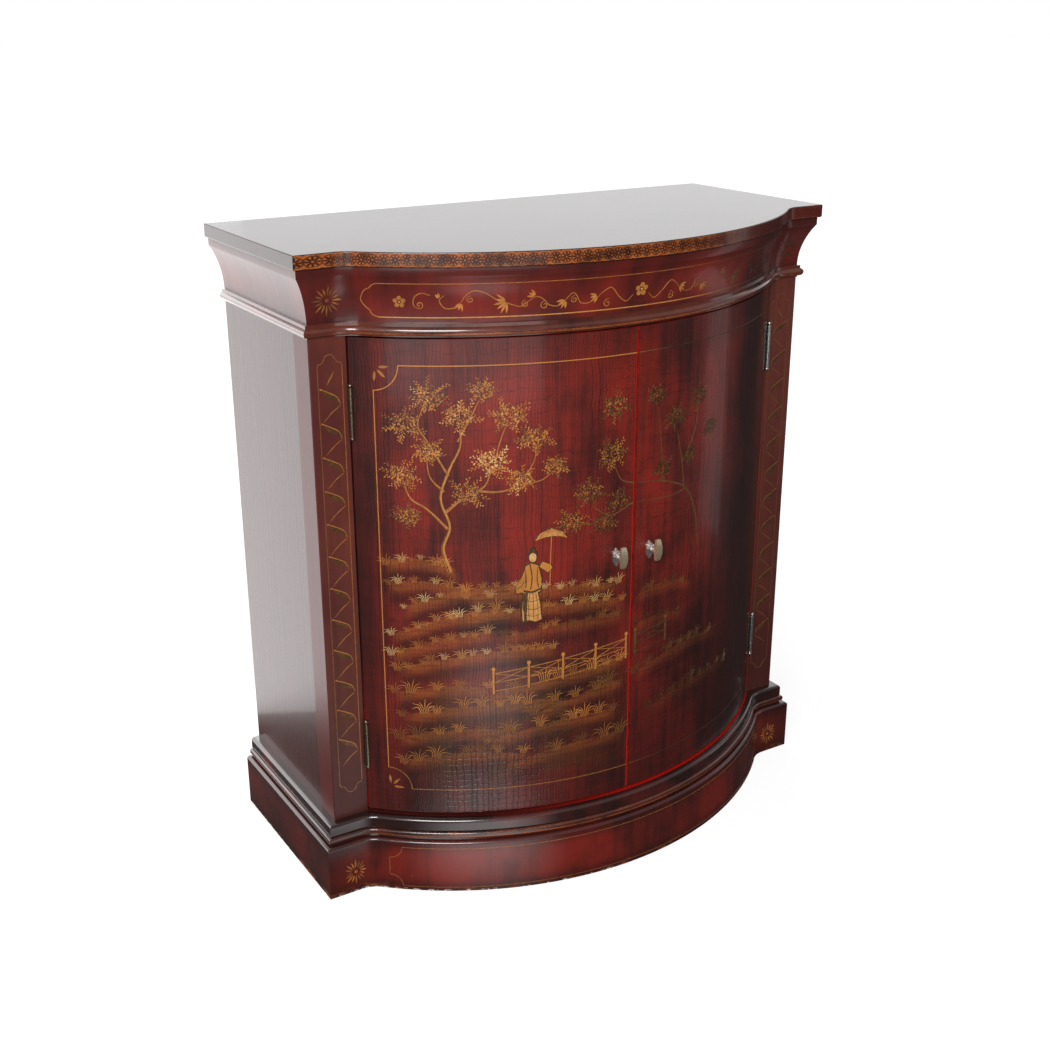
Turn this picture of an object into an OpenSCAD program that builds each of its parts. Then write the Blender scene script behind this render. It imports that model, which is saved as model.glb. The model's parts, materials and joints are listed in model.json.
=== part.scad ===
// Bow-front hall chest: two curved doors between straight posts, a coved cornice
// with a bead under it, and a moulded plinth. The front line of every moulding
// runs from ear to bow through a hollow turn, and is mitred at the front corners.
// Plans are drawn with the back of the chest on y = 0 and the front towards -y.
// Moulding sections are drawn as [distance out from the case, height].

/* [Case] */
// Width of the case across its posts
case_w = 804; // [700:1:950]
// Depth of the case at its posts
case_d = 289; // [260:1:340]
// How far the bow stands in front of the posts
bow_rise = 147.5; // [125:0.5:160]
// Height from the floor to the top face
overall_h = 914.4; // [840:0.1:1000]
// Width of a front post
post_w = 52; // [46:1:64]
// Depth of a front post
post_depth = 46; // [40:1:60]
// Rounding of the outer corner of a post
post_round = 1.5; // [0.5:0.5:3]
// Thickness of a side panel
side_t = 19; // [16:0.5:24]
// Thickness of the case top board
case_top_t = 18; // [16:0.5:22]
// Thickness of the bottom board
bottom_t = 19; // [15:0.5:24]
// Thickness of the back panel
back_t = 6; // [4:0.5:9]
// Width of the rebate that holds the back panel
rebate_w = 9; // [6:0.5:12]

/* [Top and cornice] */
// Thickness of the top board
top_t = 19; // [15:0.5:25]
// How far the top board stands out from the case
top_over = 22.5; // [20:0.5:30]
// Rounding of the upper edge of the top board
top_round = 1.5; // [0.5:0.5:4]
// Rounding of the lower edge of the top board
top_round_low = 2.5; // [0.5:0.5:4]
// Height of the flat strip under the top board
strip_h = 10.4; // [6:0.2:16]
// How far the cornice stands out under the top board
cornice_out = 18; // [12:0.5:19]
// Height of the cove
cove_h = 62; // [50:1:75]
// Thickness of the cornice at its foot
cornice_t = 20; // [16:0.5:26]
// Radius of the hollow turn from ear to bow, on the line of the case
turn_r = 60; // [50:1:70]

/* [Bead] */
// Radius of the half-round bead
bead_r = 6; // [4:0.5:7]
// How far the bead stands out from the case
bead_out = 7.5; // [7:0.5:10]
// Height of the plain edge below the bead
bead_foot = 2; // [0.5:0.5:3.5]
// How far the flat above the bead stands out
bead_flat = 3.5; // [2:0.5:5]

/* [Base] */
// Height of the plinth
plinth_h = 81.5; // [65:0.5:110]
// How far the plinth stands out from the case
plinth_out = 22.5; // [20:0.5:30]
// Thickness of the plinth boards
plinth_t = 20; // [16:0.5:24]
// Rounding of the upper edge of the plinth
plinth_round = 4.5; // [1:0.5:6]
// Rounding of its lower edge
plinth_round_low = 1; // [0.5:0.5:3]
// Height of the moulding on the plinth
cap_h = 11.5; // [9:0.5:16]
// How far the moulding on the plinth stands out from the case
cap_out = 16.5; // [15:0.5:18]
// Width of the moulding on the plinth
cap_w = 28; // [24:1:40]
// Height of the groove under the bead of that moulding
quirk_h = 2.5; // [1.5:0.5:4]
// Depth of that groove
quirk_d = 4; // [2:0.5:5]
// Rounding of the bead of that moulding
cap_round = 3; // [1:0.5:3]
// How far the bottom board stands out from the case
lip_out = 12.8; // [10:0.2:14]
// Rounding of its upper edge
lip_round = 5; // [2:0.5:7]
// Rounding of its lower edge
lip_round_low = 2; // [1:0.5:4]
// Radius of its tighter turn from ear to bow, on the line of the case
lip_turn_r = 27; // [24:1:34]

/* [Doors] */
// Thickness of a door
door_t = 19; // [16:0.5:22]
// Gap between a door and its post
door_gap = 1.6; // [1.2:0.1:2.4]
// Gap between the two doors
meeting_gap = 3; // [2:0.1:4]
// Gap under the doors
sill_gap = 4.7; // [2:0.1:6]
// Gap over the doors
head_gap = 2.5; // [2:0.1:5]

/* [Hinges] */
// Length of the three knuckles together
hinge_len = 64; // [50:1:80]
// Length of the middle knuckle
middle_len = 34; // [20:1:40]
// Radius of a knuckle
knuckle_r = 3; // [2.6:0.1:3.4]
// How far the collars of a knuckle stand out
collar_out = 0.3; // [0.2:0.05:0.5]
// Height of a collar
collar_h = 0.8; // [0.5:0.1:1.2]
// Gap between neighbouring knuckles
knuckle_gap = 0.3; // [0.2:0.05:0.5]
// Radius of the pin
pin_r = 1.6; // [1.3:0.05:1.8]
// Running clearance round the pin
pin_clear = 0.05; // [0.02:0.01:0.1]
// Radius of the balls at the ends of the pin
ball_r = 2.9; // [2.2:0.1:3.2]
// Radius of the disc under a ball
disc_r = 2.4; // [2:0.1:2.8]
// Height of that disc
disc_h = 1; // [0.6:0.1:1.6]
// How far a ball is set into its disc
ball_sink = 0.4; // [0.2:0.1:1]
// Thickness of a hinge leaf
leaf_t = 1.5; // [1:0.1:1.8]
// Depth of the leaf that lies against the wood
leaf_w = 16; // [14:0.5:18]
// Distance of a hinge screw from the end of its leaf
leaf_screw_end = 10; // [7:0.5:12]
// Room for the knuckles and the balls in the edge of the door
swing_gap = 0.5; // [0.3:0.1:1]
// How far the pin stands in front of the post
pin_stand = 5.2; // [4.8:0.1:6]
// Distance from the foot of the door to the middle of the lower hinge
hinge_low = 104; // [70:1:160]
// Distance from the head of the door to the middle of the upper hinge
hinge_high = 98; // [70:1:160]

/* [Pulls] */
// Distance of a pull from the middle of the chest
pull_x = 28; // [22:0.5:60]
// Height of a pull above the foot of the door
pull_z = 373; // [250:1:500]
// Height of the back plate
plate_h = 27; // [20:0.5:34]
// Width of the back plate
plate_w = 11; // [9:0.5:16]
// How far the middle of the back plate lies below the stem
plate_drop = 5; // [0:0.5:7]
// Thickness of the back plate
plate_t = 1.8; // [1.2:0.1:2.5]
// Radius of the ends of the stem
stem_r = 5.3; // [4.5:0.1:6]
// Radius of the waist of the stem
waist_r = 3.2; // [2.6:0.1:4]
// Length of the stem
stem_len = 15; // [12:0.5:20]
// How far the round of the back plate stands out round the stem
plate_rim = 0.8; // [0.4:0.1:1.5]
// Height of the ring of beads above the back plate
bead_ring_z = 6.8; // [4:0.1:10]
// How far the beads are set into the stem
bead_sink = 0.5; // [0.3:0.1:1]
// Radius of a bead on the stem
stem_bead_r = 1.2; // [0.8:0.1:1.5]
// Number of beads round the stem
stem_beads = 12; // [8:1:14]
// Height of the grip
grip_h = 31; // [26:0.5:36]
// Width of the grip
grip_w = 10; // [8:0.5:14]
// Thickness of the grip at its middle
grip_t = 6; // [5:0.5:8]
// Thickness of the grip at its ends
grip_end_t = 2.6; // [2:0.1:3.5]
// Width of the flare that carries the grip
flare_w = 6.5; // [5:0.1:8]
// Radius of its hollow sides
flare_r = 14; // [12:0.5:20]
// Radius of the bolt that holds the pull
bolt_r = 2; // [1.5:0.1:2.2]
// Radius of its head
bolt_head_r = 4.2; // [3.5:0.1:5]
// Height of its head
bolt_head_h = 2.4; // [1.8:0.1:3]
// How far the bolt reaches into the stem
bolt_grip = 9; // [6:0.5:11]

/* [Inside] */
// Height of the shelf above the bottom board
shelf_up = 348; // [280:1:400]
// Thickness of the shelf
shelf_t = 18; // [15:0.5:22]
// Gap between the shelf and the back of the doors
shelf_setback = 22; // [15:1:60]
// Gap between the shelf and what stands beside it
shelf_gap = 0.6; // [0.4:0.1:2]
// Radius of a shelf pin
peg_r = 2.5; // [2:0.1:3]
// Length of a shelf pin
peg_len = 17; // [14:0.5:22]
// Depth of a hole for a shelf pin
peg_hole = 10; // [8:0.5:12]
// Distance between the heights of the shelf
peg_pitch = 50; // [32:1:60]
// Number of heights above and below the middle one
peg_rows = 2; // [0:1:2]
// Distance of the rear pins from the back
peg_rear = 50; // [35:1:90]
// Distance of the front pins from the posts
peg_front = 22; // [12:1:40]

/* [Catch] */
// Width of the catch
catch_w = 64; // [56:1:90]
// Depth of the catch
catch_d = 15; // [12:0.5:20]
// Height of the catch
catch_h = 12; // [10:0.5:16]
// Distance of a magnet from the middle of the chest
magnet_x = 22; // [20:0.5:24]
// Width of a magnet
magnet_w = 12; // [8:0.5:14]
// Depth of a magnet
magnet_d = 4; // [3:0.5:6]
// Height of a magnet
magnet_h = 6; // [4:0.5:8]
// Distance of a catch screw from the middle of the chest
catch_screw_x = 8; // [6:0.5:9]
// Thickness of a strike plate
strike_t = 1.2; // [1:0.1:1.5]
// Distance of a strike plate from the head of its door
strike_drop = 2; // [1:0.5:4]
// Width of a strike plate
strike_w = 16; // [12:0.5:20]
// Height of a strike plate
strike_h = 14; // [12:0.5:18]
// Gap between a strike plate and the catch
catch_gap = 0.3; // [0.2:0.1:1]

/* [Fastening] */
// Radius of a screw
screw_r = 1.4; // [1:0.1:1.6]
// Radius of its countersunk head
screw_head_r = 2.7; // [2.2:0.1:3]
// Height of that head
screw_head_h = 1.3; // [1:0.1:1.5]
// Length of a hinge screw, a strike screw or a catch screw
screw_len = 12; // [9:0.5:14]
// Clearance round a screw and in a mortise
fit = 0.1; // [0.05:0.01:0.2]
// Length of a screw of the back panel
back_screw_len = 20; // [16:1:26]
// Screws along each side of the back panel
back_screws_side = 4; // [3:1:6]
// Screws along its head and along its foot
back_screws_head = 4; // [2:1:6]
// Size of the section of a cleat under the top board
cleat_s = 20; // [16:1:24]
// Length of a cleat
cleat_len = 190; // [120:5:200]
// How far a cleat screw reaches into the top board
cleat_bite = 12; // [8:0.5:13]
// Screws in each cleat
cleat_screws = 3; // [2:1:4]
// Leg of the three-cornered glue blocks
block_leg = 38; // [25:1:45]
// Height of the glue blocks in the plinth
block_h = 65; // [40:1:65]

/* [Hidden] */
$fn = 96;
// Half the width of the opening between the posts
open_x = case_w / 2 - post_w;
// Radius of the bow and the place of its centre behind the back
bow_r = rounded((open_x * open_x + bow_rise * bow_rise) / (2 * bow_rise), 3);
bow_y = bow_r - bow_rise - case_d;
// Heights, from the floor up
bottom_z = plinth_h + cap_h;
sill_z = bottom_z + bottom_t;
top_z = overall_h - top_t;
cornice_z = top_z - strip_h - cove_h;
case_top_z = cornice_z - case_top_t;
side_h = case_top_z - sill_z;
// Doors
door_z = sill_z + sill_gap;
door_h = side_h - sill_gap - head_gap;
door_edge = open_x - door_gap;
inner_r = bow_r - door_t;
// Hinges
hinge_x = open_x - door_gap / 2;
hinge_y = -case_d - pin_stand;
hinge_zs = [door_z + hinge_low, door_z + door_h - hinge_high];
sweep_r = knuckle_r + collar_out + swing_gap;
ball_z = hinge_len / 2 + disc_h + ball_r - ball_sink;
// Height of a hinge screw from the middle of its hinge
hinge_screw_z = hinge_len / 2 - leaf_screw_end;
hinge_screw_y = -case_d + leaf_w / 2;
// Pulls
pull_reach = plate_t + stem_len + grip_t;
pull_turn = asin(pull_x / bow_r);
pull_front = (bow_r + pull_reach) * cos(pull_turn) + grip_w / 2 * sin(pull_turn) - bow_y;
// The deepest moulding or the pulls, from the back of the chest
overall_d = max(bow_rise + case_d + max(plinth_out, top_over), pull_front);
// Shelf
shelf_z = sill_z + shelf_up;
shelf_y = -back_t - shelf_gap;
peg_ys = [-peg_rear, -(case_d - post_depth - peg_front)];
// Catch
catch_r = inner_r - strike_t - catch_gap;
strike_z = door_z + door_h - strike_h / 2 - strike_drop;
magnet_z = case_top_z - catch_h / 2;
// Length of a mitre cut on the largest section
mitre = 90;
// How far a cutter passes through the face that it opens
over = 1;
// How far the edge of a board reaches inwards, and how far its core stands back
edge_w = 30;
core_back = edge_w / 2;

function rounded(x, digits) = round(x * pow(10, digits)) / pow(10, digits);

// A hollow turn of about radius r, taken on the line of the case: the angle of the bow at
// which it starts, in few digits, then the exact radius for that angle, and the centre
function turn_a(r) = rounded(acos((case_d + r + bow_y) / (bow_r + r)), 3);
function turn_radius(r) = (bow_r * cos(turn_a(r)) - case_d - bow_y) / (1 - cos(turn_a(r)));
function turn_centre(r) = [(bow_r + turn_radius(r)) * sin(turn_a(r)),
  bow_y - (bow_r + turn_radius(r)) * cos(turn_a(r)), 0];

// Puts a plan with its back on y = 0 into the middle of the depth of the chest
module placed() {
  translate([0, overall_d / 2, 0]) children();
}

// Moves in a coarse and a fine step, which keeps more digits than one step
module finely(v) {
  coarse = [for (x = v) rounded(x, 3)];
  translate(coarse) translate(v - coarse) children();
}

// Left side from the drawing of the right side
module on_side(side) {
  mirror([side < 0 ? 1 : 0, 0, 0]) children();
}

// Front run of a moulding: ear, hollow turn, bow, hollow turn, ear
module front_run(r) {
  a = turn_a(r);
  centre = turn_centre(r);
  translate([0, bow_y, 0]) rotate_extrude(start = 270 - a, angle = 2 * a, $fn = 240)
    translate([bow_r, 0]) children();
  for (side = [-1, 1]) on_side(side) {
    finely(centre) rotate_extrude(start = 90, angle = a)
      finely([turn_radius(r), 0, 0]) mirror([1, 0]) children();
    intersection() {
      finely(centre + [0, turn_radius(r), 0]) rotate([90, 0, 90])
        linear_extrude(case_w / 2 + mitre / 2 - rounded(centre[0], 0)) mirror([1, 0]) children();
      linear_extrude(overall_h) polygon([[0, -case_d - mitre], [0, -case_d + mitre / 2],
        [case_w / 2 - mitre / 2, -case_d + mitre / 2], [case_w / 2 + mitre, -case_d - mitre]]);
    }
  }
}

// Side run of a moulding on the right side, mitred at the front corner
module side_run() {
  intersection() {
    translate([case_w / 2, 0, 0]) rotate([90, 0, 0]) linear_extrude(case_d + mitre / 2) children();
    linear_extrude(overall_h) polygon([[case_w / 2 - mitre / 2, 0], [case_w / 2 + mitre, 0],
      [case_w / 2 + mitre, -case_d - mitre], [case_w / 2 - mitre / 2, -case_d + mitre / 2]]);
  }
}

// Board with a shaped edge on its front and its sides. The core laps the edge inwards.
module edged_board(z, t, r) {
  width = case_w - 2 * core_back;
  translate([0, 0, z]) linear_extrude(t) union() {
    translate([-width / 2, core_back - case_d]) square([width, case_d - core_back]);
    intersection() {
      translate([0, bow_y]) circle(bow_r - core_back, $fn = 240);
      translate([-open_x, -case_d - bow_rise]) square([2 * open_x, case_d / 2 + bow_rise]);
    }
  }
  front_run(r) children();
  for (side = [-1, 1]) on_side(side) side_run() children();
}

// Section of a bar from d0 to d1 and from z0 to z1, with its outer corners rounded
module eased_bar(d0, d1, z0, z1, r_low, r_high) {
  middle = (z0 + z1) / 2;
  translate([d0, z0]) square([d1 - r_low - d0, middle - z0]);
  translate([d0, middle]) square([d1 - r_high - d0, z1 - middle]);
  translate([d0, z0 + r_low]) square([d1 - d0, z1 - z0 - r_low - r_high]);
  translate([d1 - r_low, z0 + r_low]) circle(r_low);
  translate([d1 - r_high, z1 - r_high]) circle(r_high);
}

module cornice_section() {
  cove_r = (cornice_out * cornice_out + cove_h * cove_h) / (2 * cornice_out);
  difference() {
    translate([-cornice_t, cornice_z]) square([cornice_t + cornice_out, cove_h + strip_h]);
    translate([cove_r, cornice_z]) circle(cove_r, $fn = 180);
  }
}

module bead_section() {
  bead_z = case_top_z + bead_foot + bead_r;
  intersection() {
    translate([0, case_top_z]) square([bead_out, case_top_t]);
    union() {
      translate([bead_out - bead_r, bead_z]) circle(bead_r);
      translate([0, bead_z - bead_r]) square([bead_out - bead_r, 2 * bead_r]);
      translate([0, case_top_z]) square([(bead_out - bead_r) / 2, case_top_t]);
      translate([0, bead_z]) square([bead_flat, cornice_z - bead_z]);
    }
  }
}

module cap_section() {
  cap_in = cap_out - cap_w;
  translate([cap_in, plinth_h]) square([cap_w - quirk_d, cap_h]);
  eased_bar(cap_in, cap_out, plinth_h + quirk_h, bottom_z, cap_round, cap_round);
}

module plinth_section() {
  eased_bar(plinth_out - plinth_t, plinth_out, 0, plinth_h, plinth_round_low, plinth_round);
}

module top_edge_section() {
  eased_bar(-edge_w, top_over, top_z, overall_h, top_round_low, top_round);
}

module lip_section() {
  eased_bar(-edge_w, lip_out, bottom_z, sill_z, lip_round_low, lip_round);
}

module case_top_section() {
  translate([-edge_w, case_top_z]) square([edge_w, case_top_t]);
}

// Screw with its head flush at the origin and its shank along -z
module screw(length, grow = 0) {
  translate([0, 0, -screw_head_h]) cylinder(h = screw_head_h, r1 = screw_r + grow,
    r2 = screw_head_r + grow);
  translate([0, 0, -length - grow]) cylinder(h = length + grow - screw_head_h, r = screw_r + grow);
}

// Puts an origin on the outer face of a door, at x from the middle, with +z outwards
module on_bow(x, z, depth = 0) {
  translate([0, bow_y, 0]) rotate([0, 0, asin(x / bow_r)]) translate([0, -bow_r + depth, z])
    rotate([90, 0, 0]) children();
}

// Plan of a curved piece between two radii of the bow and between x0 and x1
module bow_plan(r_in, r_out, x0, x1) {
  intersection() {
    translate([0, bow_y]) difference() {
      circle(r_out, $fn = 240);
      circle(r_in, $fn = 240);
    }
    translate([x0, -bow_r - case_d]) square([x1 - x0, bow_r + case_d + min(0, bow_y)]);
  }
}

// Flat panel of the back, with room round it when it is used as a cutter
module back_shape(grow = 0) {
  x = case_w / 2 - side_t + rebate_w - fit + grow;
  translate([-x, -back_t, sill_z - rebate_w + fit - grow])
    cube([2 * x, back_t + grow, side_h + 2 * (rebate_w - fit + grow)]);
}

module back_screws_shape(grow = 0) {
  side_x = case_w / 2 - side_t + rebate_w / 2;
  for (side = [-1, 1], i = [0:back_screws_side - 1])
    translate([side * side_x, 0, sill_z + side_h * (i + 0.5) / back_screws_side])
      rotate([-90, 0, 0]) screw(back_screw_len, grow);
  for (z = [sill_z - rebate_w / 2, case_top_z + rebate_w / 2], i = [0:back_screws_head - 1])
    translate([open_x * (2 * (i + 0.5) / back_screws_head - 1), 0, z])
      rotate([-90, 0, 0]) screw(back_screw_len, grow);
}

// Screws that go up through the cleats into the top board
module top_screws_shape(grow = 0) {
  x = case_w / 2 - cornice_t - cleat_s / 2;
  for (side = [-1, 1], i = [0:cleat_screws - 1])
    translate([side * x, cleat_mid_y() + cleat_len * ((i + 0.5) / cleat_screws - 0.5), top_z - cleat_s])
      rotate([180, 0, 0]) screw(cleat_s + cleat_bite, grow);
}

function cleat_mid_y() = -(case_d - cornice_t) / 2;

module glue_block(x, y, turn, z, h) {
  translate([x, y, z]) rotate([0, 0, turn])
    linear_extrude(h) polygon([[0, 0], [-block_leg, 0], [0, block_leg]]);
}

// Leaf of a hinge on the right side, with the pin on the origin.
// A post leaf lies at +x and has the outer knuckles, and a door leaf the middle one.
module leaf(is_post) {
  inner = middle_len / 2 - knuckle_gap / 2;
  outer = middle_len / 2 + knuckle_gap / 2;
  spans = is_post ? [[-hinge_len / 2, -outer], [outer, hinge_len / 2]] : [[-inner, inner]];
  cuts = is_post ? [[-outer, outer]]
    : [[-hinge_len / 2 - over, -inner], [inner, hinge_len / 2 + over]];
  plate_x = is_post ? door_gap / 2 : -door_gap / 2 - leaf_t;
  screw_x = is_post ? door_gap / 2 : -door_gap / 2;
  difference() {
    union() {
      difference() {
        translate([plate_x, 0, -hinge_len / 2]) cube([leaf_t, pin_stand + leaf_w, hinge_len]);
        for (cut = cuts) translate([-sweep_r, -sweep_r, cut[0]])
          cube([2 * sweep_r, 2 * sweep_r, cut[1] - cut[0]]);
      }
      for (span = spans) {
        translate([0, 0, span[0]]) cylinder(h = span[1] - span[0], r = knuckle_r);
        for (z = [span[0], span[1] - collar_h])
          translate([0, 0, z]) cylinder(h = collar_h, r = knuckle_r + collar_out);
      }
    }
    translate([0, 0, -hinge_len]) cylinder(h = 2 * hinge_len, r = pin_r + pin_clear);
    for (s = [-1, 1]) translate([screw_x, hinge_screw_y - hinge_y, s * hinge_screw_z])
      rotate([0, is_post ? -90 : 90, 0]) screw(screw_len, fit);
  }
}

module hinge_pin() {
  translate([0, 0, -hinge_len / 2]) cylinder(h = hinge_len, r = pin_r);
  for (s = [0, 1]) mirror([0, 0, s]) {
    translate([0, 0, hinge_len / 2]) cylinder(h = disc_h, r = disc_r);
    translate([0, 0, ball_z]) sphere(ball_r);
  }
}

module at_hinge(side, i) {
  on_side(side) translate([hinge_x, hinge_y, hinge_zs[i]]) children();
}

// Screws of the leaves on one side, in the post or in the door
module hinge_screws_shape(side, in_post, grow = 0) {
  x = in_post ? open_x : door_edge;
  for (z = hinge_zs, s = [-1, 1]) on_side(side) translate([x, hinge_screw_y, z + s * hinge_screw_z])
    rotate([0, in_post ? -90 : 90, 0]) screw(screw_len, grow);
}

module strike_screw_shape(side, grow = 0) {
  on_side(side) on_bow(magnet_x, strike_z, door_t + strike_t) rotate([180, 0, 0])
    screw(screw_len, grow);
}

// Magnet in the face of the catch, on the right side
module magnet_shape(reach = 0) {
  translate([0, 0, magnet_z - magnet_h / 2]) linear_extrude(magnet_h)
    bow_plan(catch_r - magnet_d, catch_r + reach, magnet_x - magnet_w / 2, magnet_x + magnet_w / 2);
}

module catch_screws_shape(grow = 0) {
  for (side = [-1, 1]) translate([side * catch_screw_x, bow_y - catch_r + catch_d / 2 + magnet_d / 2,
    case_top_z - catch_h]) rotate([180, 0, 0]) screw(screw_len + catch_h, grow);
}

// Pegs of the shelf, or the holes at every height that they fit
module pegs_shape(side, is_hole) {
  rows = is_hole ? [-peg_rows:peg_rows] : [0];
  grow = is_hole ? fit / 2 : 0;
  length = is_hole ? peg_hole + over : peg_len;
  x = is_hole ? case_w / 2 - side_t - over : case_w / 2 - side_t + peg_hole - peg_len - fit;
  for (y = peg_ys, row = rows)
    on_side(side) translate([x, y, shelf_z - peg_r + row * peg_pitch])
      rotate([0, 90, 0]) cylinder(h = length, r = peg_r + grow, $fn = 48);
}

module post_shape(side) {
  difference() {
    on_side(side) translate([0, 0, sill_z]) linear_extrude(side_h) difference() {
      translate([open_x, -case_d]) square([post_w, post_depth]);
      translate([case_w / 2 - post_round, -case_d]) difference() {
        square(post_round);
        translate([0, post_round]) circle(post_round, $fn = 32);
      }
    }
    for (z = hinge_zs) on_side(side)
      translate([open_x - over, -case_d - over, z - hinge_len / 2 - fit])
        cube([leaf_t + fit + over, leaf_w + fit + over, hinge_len + 2 * fit]);
    hinge_screws_shape(side, true, fit);
  }
}

module side_shape(side) {
  difference() {
    on_side(side) translate([case_w / 2 - side_t, -(case_d - post_depth), sill_z])
      cube([side_t, case_d - post_depth, side_h]);
    back_shape(fit);
    back_screws_shape(fit);
    pegs_shape(side, true);
  }
}

module door_shape(side) {
  difference() {
    on_side(side) translate([0, 0, door_z]) linear_extrude(door_h)
      bow_plan(inner_r, bow_r, meeting_gap / 2, door_edge);
    for (z = hinge_zs) on_side(side) {
      translate([hinge_x, hinge_y, z - ball_z - ball_r - swing_gap])
        cylinder(h = 2 * (ball_z + ball_r + swing_gap), r = sweep_r);
      translate([door_edge - leaf_t - fit, hinge_y - over, z - hinge_len / 2 - fit])
        cube([leaf_t + 2 * fit + over, pin_stand + leaf_w + fit + over, hinge_len + 2 * fit]);
    }
    hinge_screws_shape(side, false, fit);
    strike_screw_shape(side, fit);
    on_side(side) on_bow(pull_x, door_z + pull_z, door_t + over)
      cylinder(h = door_t + 2 * over, r = bolt_r + fit);
  }
}

module pull_plate_shape() {
  lens_r = (plate_h * plate_h + plate_w * plate_w) / (4 * plate_w);
  difference() {
    linear_extrude(plate_t) union() {
      translate([0, -plate_drop]) intersection() {
        translate([lens_r - plate_w / 2, 0]) circle(lens_r);
        translate([plate_w / 2 - lens_r, 0]) circle(lens_r);
      }
      circle(stem_r + plate_rim);
    }
    translate([0, 0, -over]) cylinder(h = plate_t + 2 * over, r = bolt_r + fit);
  }
}

// Stem with a beaded collar and a bowed upright grip
module pull_knob_shape() {
  hollow_r = (stem_len * stem_len / 4 + pow(stem_r - waist_r, 2)) / (2 * (stem_r - waist_r));
  bead_at = waist_r + stem_bead_r - bead_sink;
  bow = grip_t - grip_end_t;
  face_r = (grip_h * grip_h / 4 + bow * bow) / (2 * bow);
  flank_r = 3 * grip_h;
  flare_foot = [waist_r - 0.3, stem_len / 2];
  flare_end = [grip_h / 2 - 0.7, stem_len + 0.3];
  chord = flare_end - flare_foot;
  flare_mid = (flare_end + flare_foot) / 2
    + sqrt(pow(flare_r / norm(chord), 2) - 0.25) * [chord.y, -chord.x];
  difference() {
    translate([0, 0, plate_t]) {
      rotate_extrude() difference() {
        square([stem_r, stem_len]);
        translate([waist_r + hollow_r, stem_len / 2]) circle(hollow_r);
      }
      translate([0, 0, bead_ring_z]) {
        cylinder(h = stem_bead_r, r = bead_at, center = true);
        for (i = [0:stem_beads - 1]) rotate([0, 0, 360 * i / stem_beads])
          translate([bead_at, 0, 0]) sphere(stem_bead_r, $fn = 24);
      }
      rotate([90, 0, 90]) linear_extrude(flare_w, center = true) difference() {
        translate([-flare_end.x, flare_foot.y]) square([2 * flare_end.x, stem_len + 1 - flare_foot.y]);
        for (s = [-1, 1]) translate([s * flare_mid.x, flare_mid.y]) circle(flare_r);
      }
      intersection() {
        translate([0, 0, stem_len]) linear_extrude(grip_t) intersection() {
          circle(grip_h / 2);
          translate([flank_r - grip_w / 2, 0]) circle(flank_r);
          translate([grip_w / 2 - flank_r, 0]) circle(flank_r);
        }
        translate([-grip_w, 0, stem_len + grip_t - face_r]) rotate([0, 90, 0])
          cylinder(h = 2 * grip_w, r = face_r);
      }
    }
    translate([0, 0, plate_t - over]) cylinder(h = bolt_grip + over + fit, r = bolt_r + fit);
  }
}

module pull_bolt_shape() {
  translate([0, 0, -door_t]) cylinder(h = door_t + plate_t + bolt_grip, r = bolt_r);
  translate([0, 0, -door_t - bolt_head_h]) cylinder(h = bolt_head_h, r = bolt_head_r);
}

module at_pull(side) {
  on_side(side) on_bow(pull_x, door_z + pull_z) children();
}

// Colours of the finishes
lacquer = [0.30, 0.06, 0.05];
dark_lacquer = [0.17, 0.05, 0.04];
inside_paint = [0.42, 0.06, 0.05];
bare_wood = [0.62, 0.47, 0.32];
old_nickel = [0.55, 0.53, 0.48];
old_brass = [0.62, 0.54, 0.40];
steel = [0.60, 0.60, 0.62];

module top_board() {
  color(lacquer) placed() difference() {
    edged_board(top_z, top_t, turn_r) top_edge_section();
    top_screws_shape(fit);
  }
}

module top_cleats() {
  color(bare_wood) placed() difference() {
    for (side = [-1, 1]) on_side(side)
      translate([case_w / 2 - cornice_t - cleat_s, cleat_mid_y() - cleat_len / 2, top_z - cleat_s])
        cube([cleat_s, cleat_len, cleat_s]);
    top_screws_shape(fit);
  }
}

module top_screws() {
  color(steel) placed() top_screws_shape();
}

module cornice_front() {
  color(lacquer) placed() front_run(turn_r) cornice_section();
}

module cornice_side(side) {
  color(lacquer) placed() on_side(side) side_run() cornice_section();
}

module cornice_back() {
  x = case_w / 2 - cornice_t;
  color(bare_wood) placed() translate([-x, -cornice_t, cornice_z])
    cube([2 * x, cornice_t, cove_h + strip_h]);
}

module cornice_blocks() {
  x = case_w / 2 - cornice_t;
  color(bare_wood) placed() for (side = [-1, 1]) on_side(side) {
    glue_block(x, -case_d + cornice_t, 0, cornice_z, cove_h + strip_h - cleat_s);
    glue_block(x, -cornice_t, 90, cornice_z, cove_h + strip_h - cleat_s);
  }
}

module bead_front() {
  color(dark_lacquer) placed() front_run(turn_r) bead_section();
}

module bead_side(side) {
  color(dark_lacquer) placed() on_side(side) side_run() bead_section();
}

module case_top() {
  color(inside_paint) placed() difference() {
    edged_board(case_top_z, case_top_t, turn_r) case_top_section();
    back_shape(fit);
    back_screws_shape(fit);
    catch_screws_shape(fit);
  }
}

module post(side) {
  color(lacquer) placed() post_shape(side);
}

module side_panel(side) {
  color(lacquer) placed() side_shape(side);
}

module back_panel() {
  color(bare_wood) placed() difference() {
    back_shape();
    back_screws_shape(fit);
  }
}

module back_screws() {
  color(steel) placed() back_screws_shape();
}

module bottom_board() {
  color(dark_lacquer) placed() difference() {
    edged_board(bottom_z, bottom_t, lip_turn_r) lip_section();
    back_shape(fit);
    back_screws_shape(fit);
  }
}

module base_cap_front() {
  color(dark_lacquer) placed() front_run(turn_r) cap_section();
}

module base_cap_side(side) {
  color(dark_lacquer) placed() on_side(side) side_run() cap_section();
}

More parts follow.
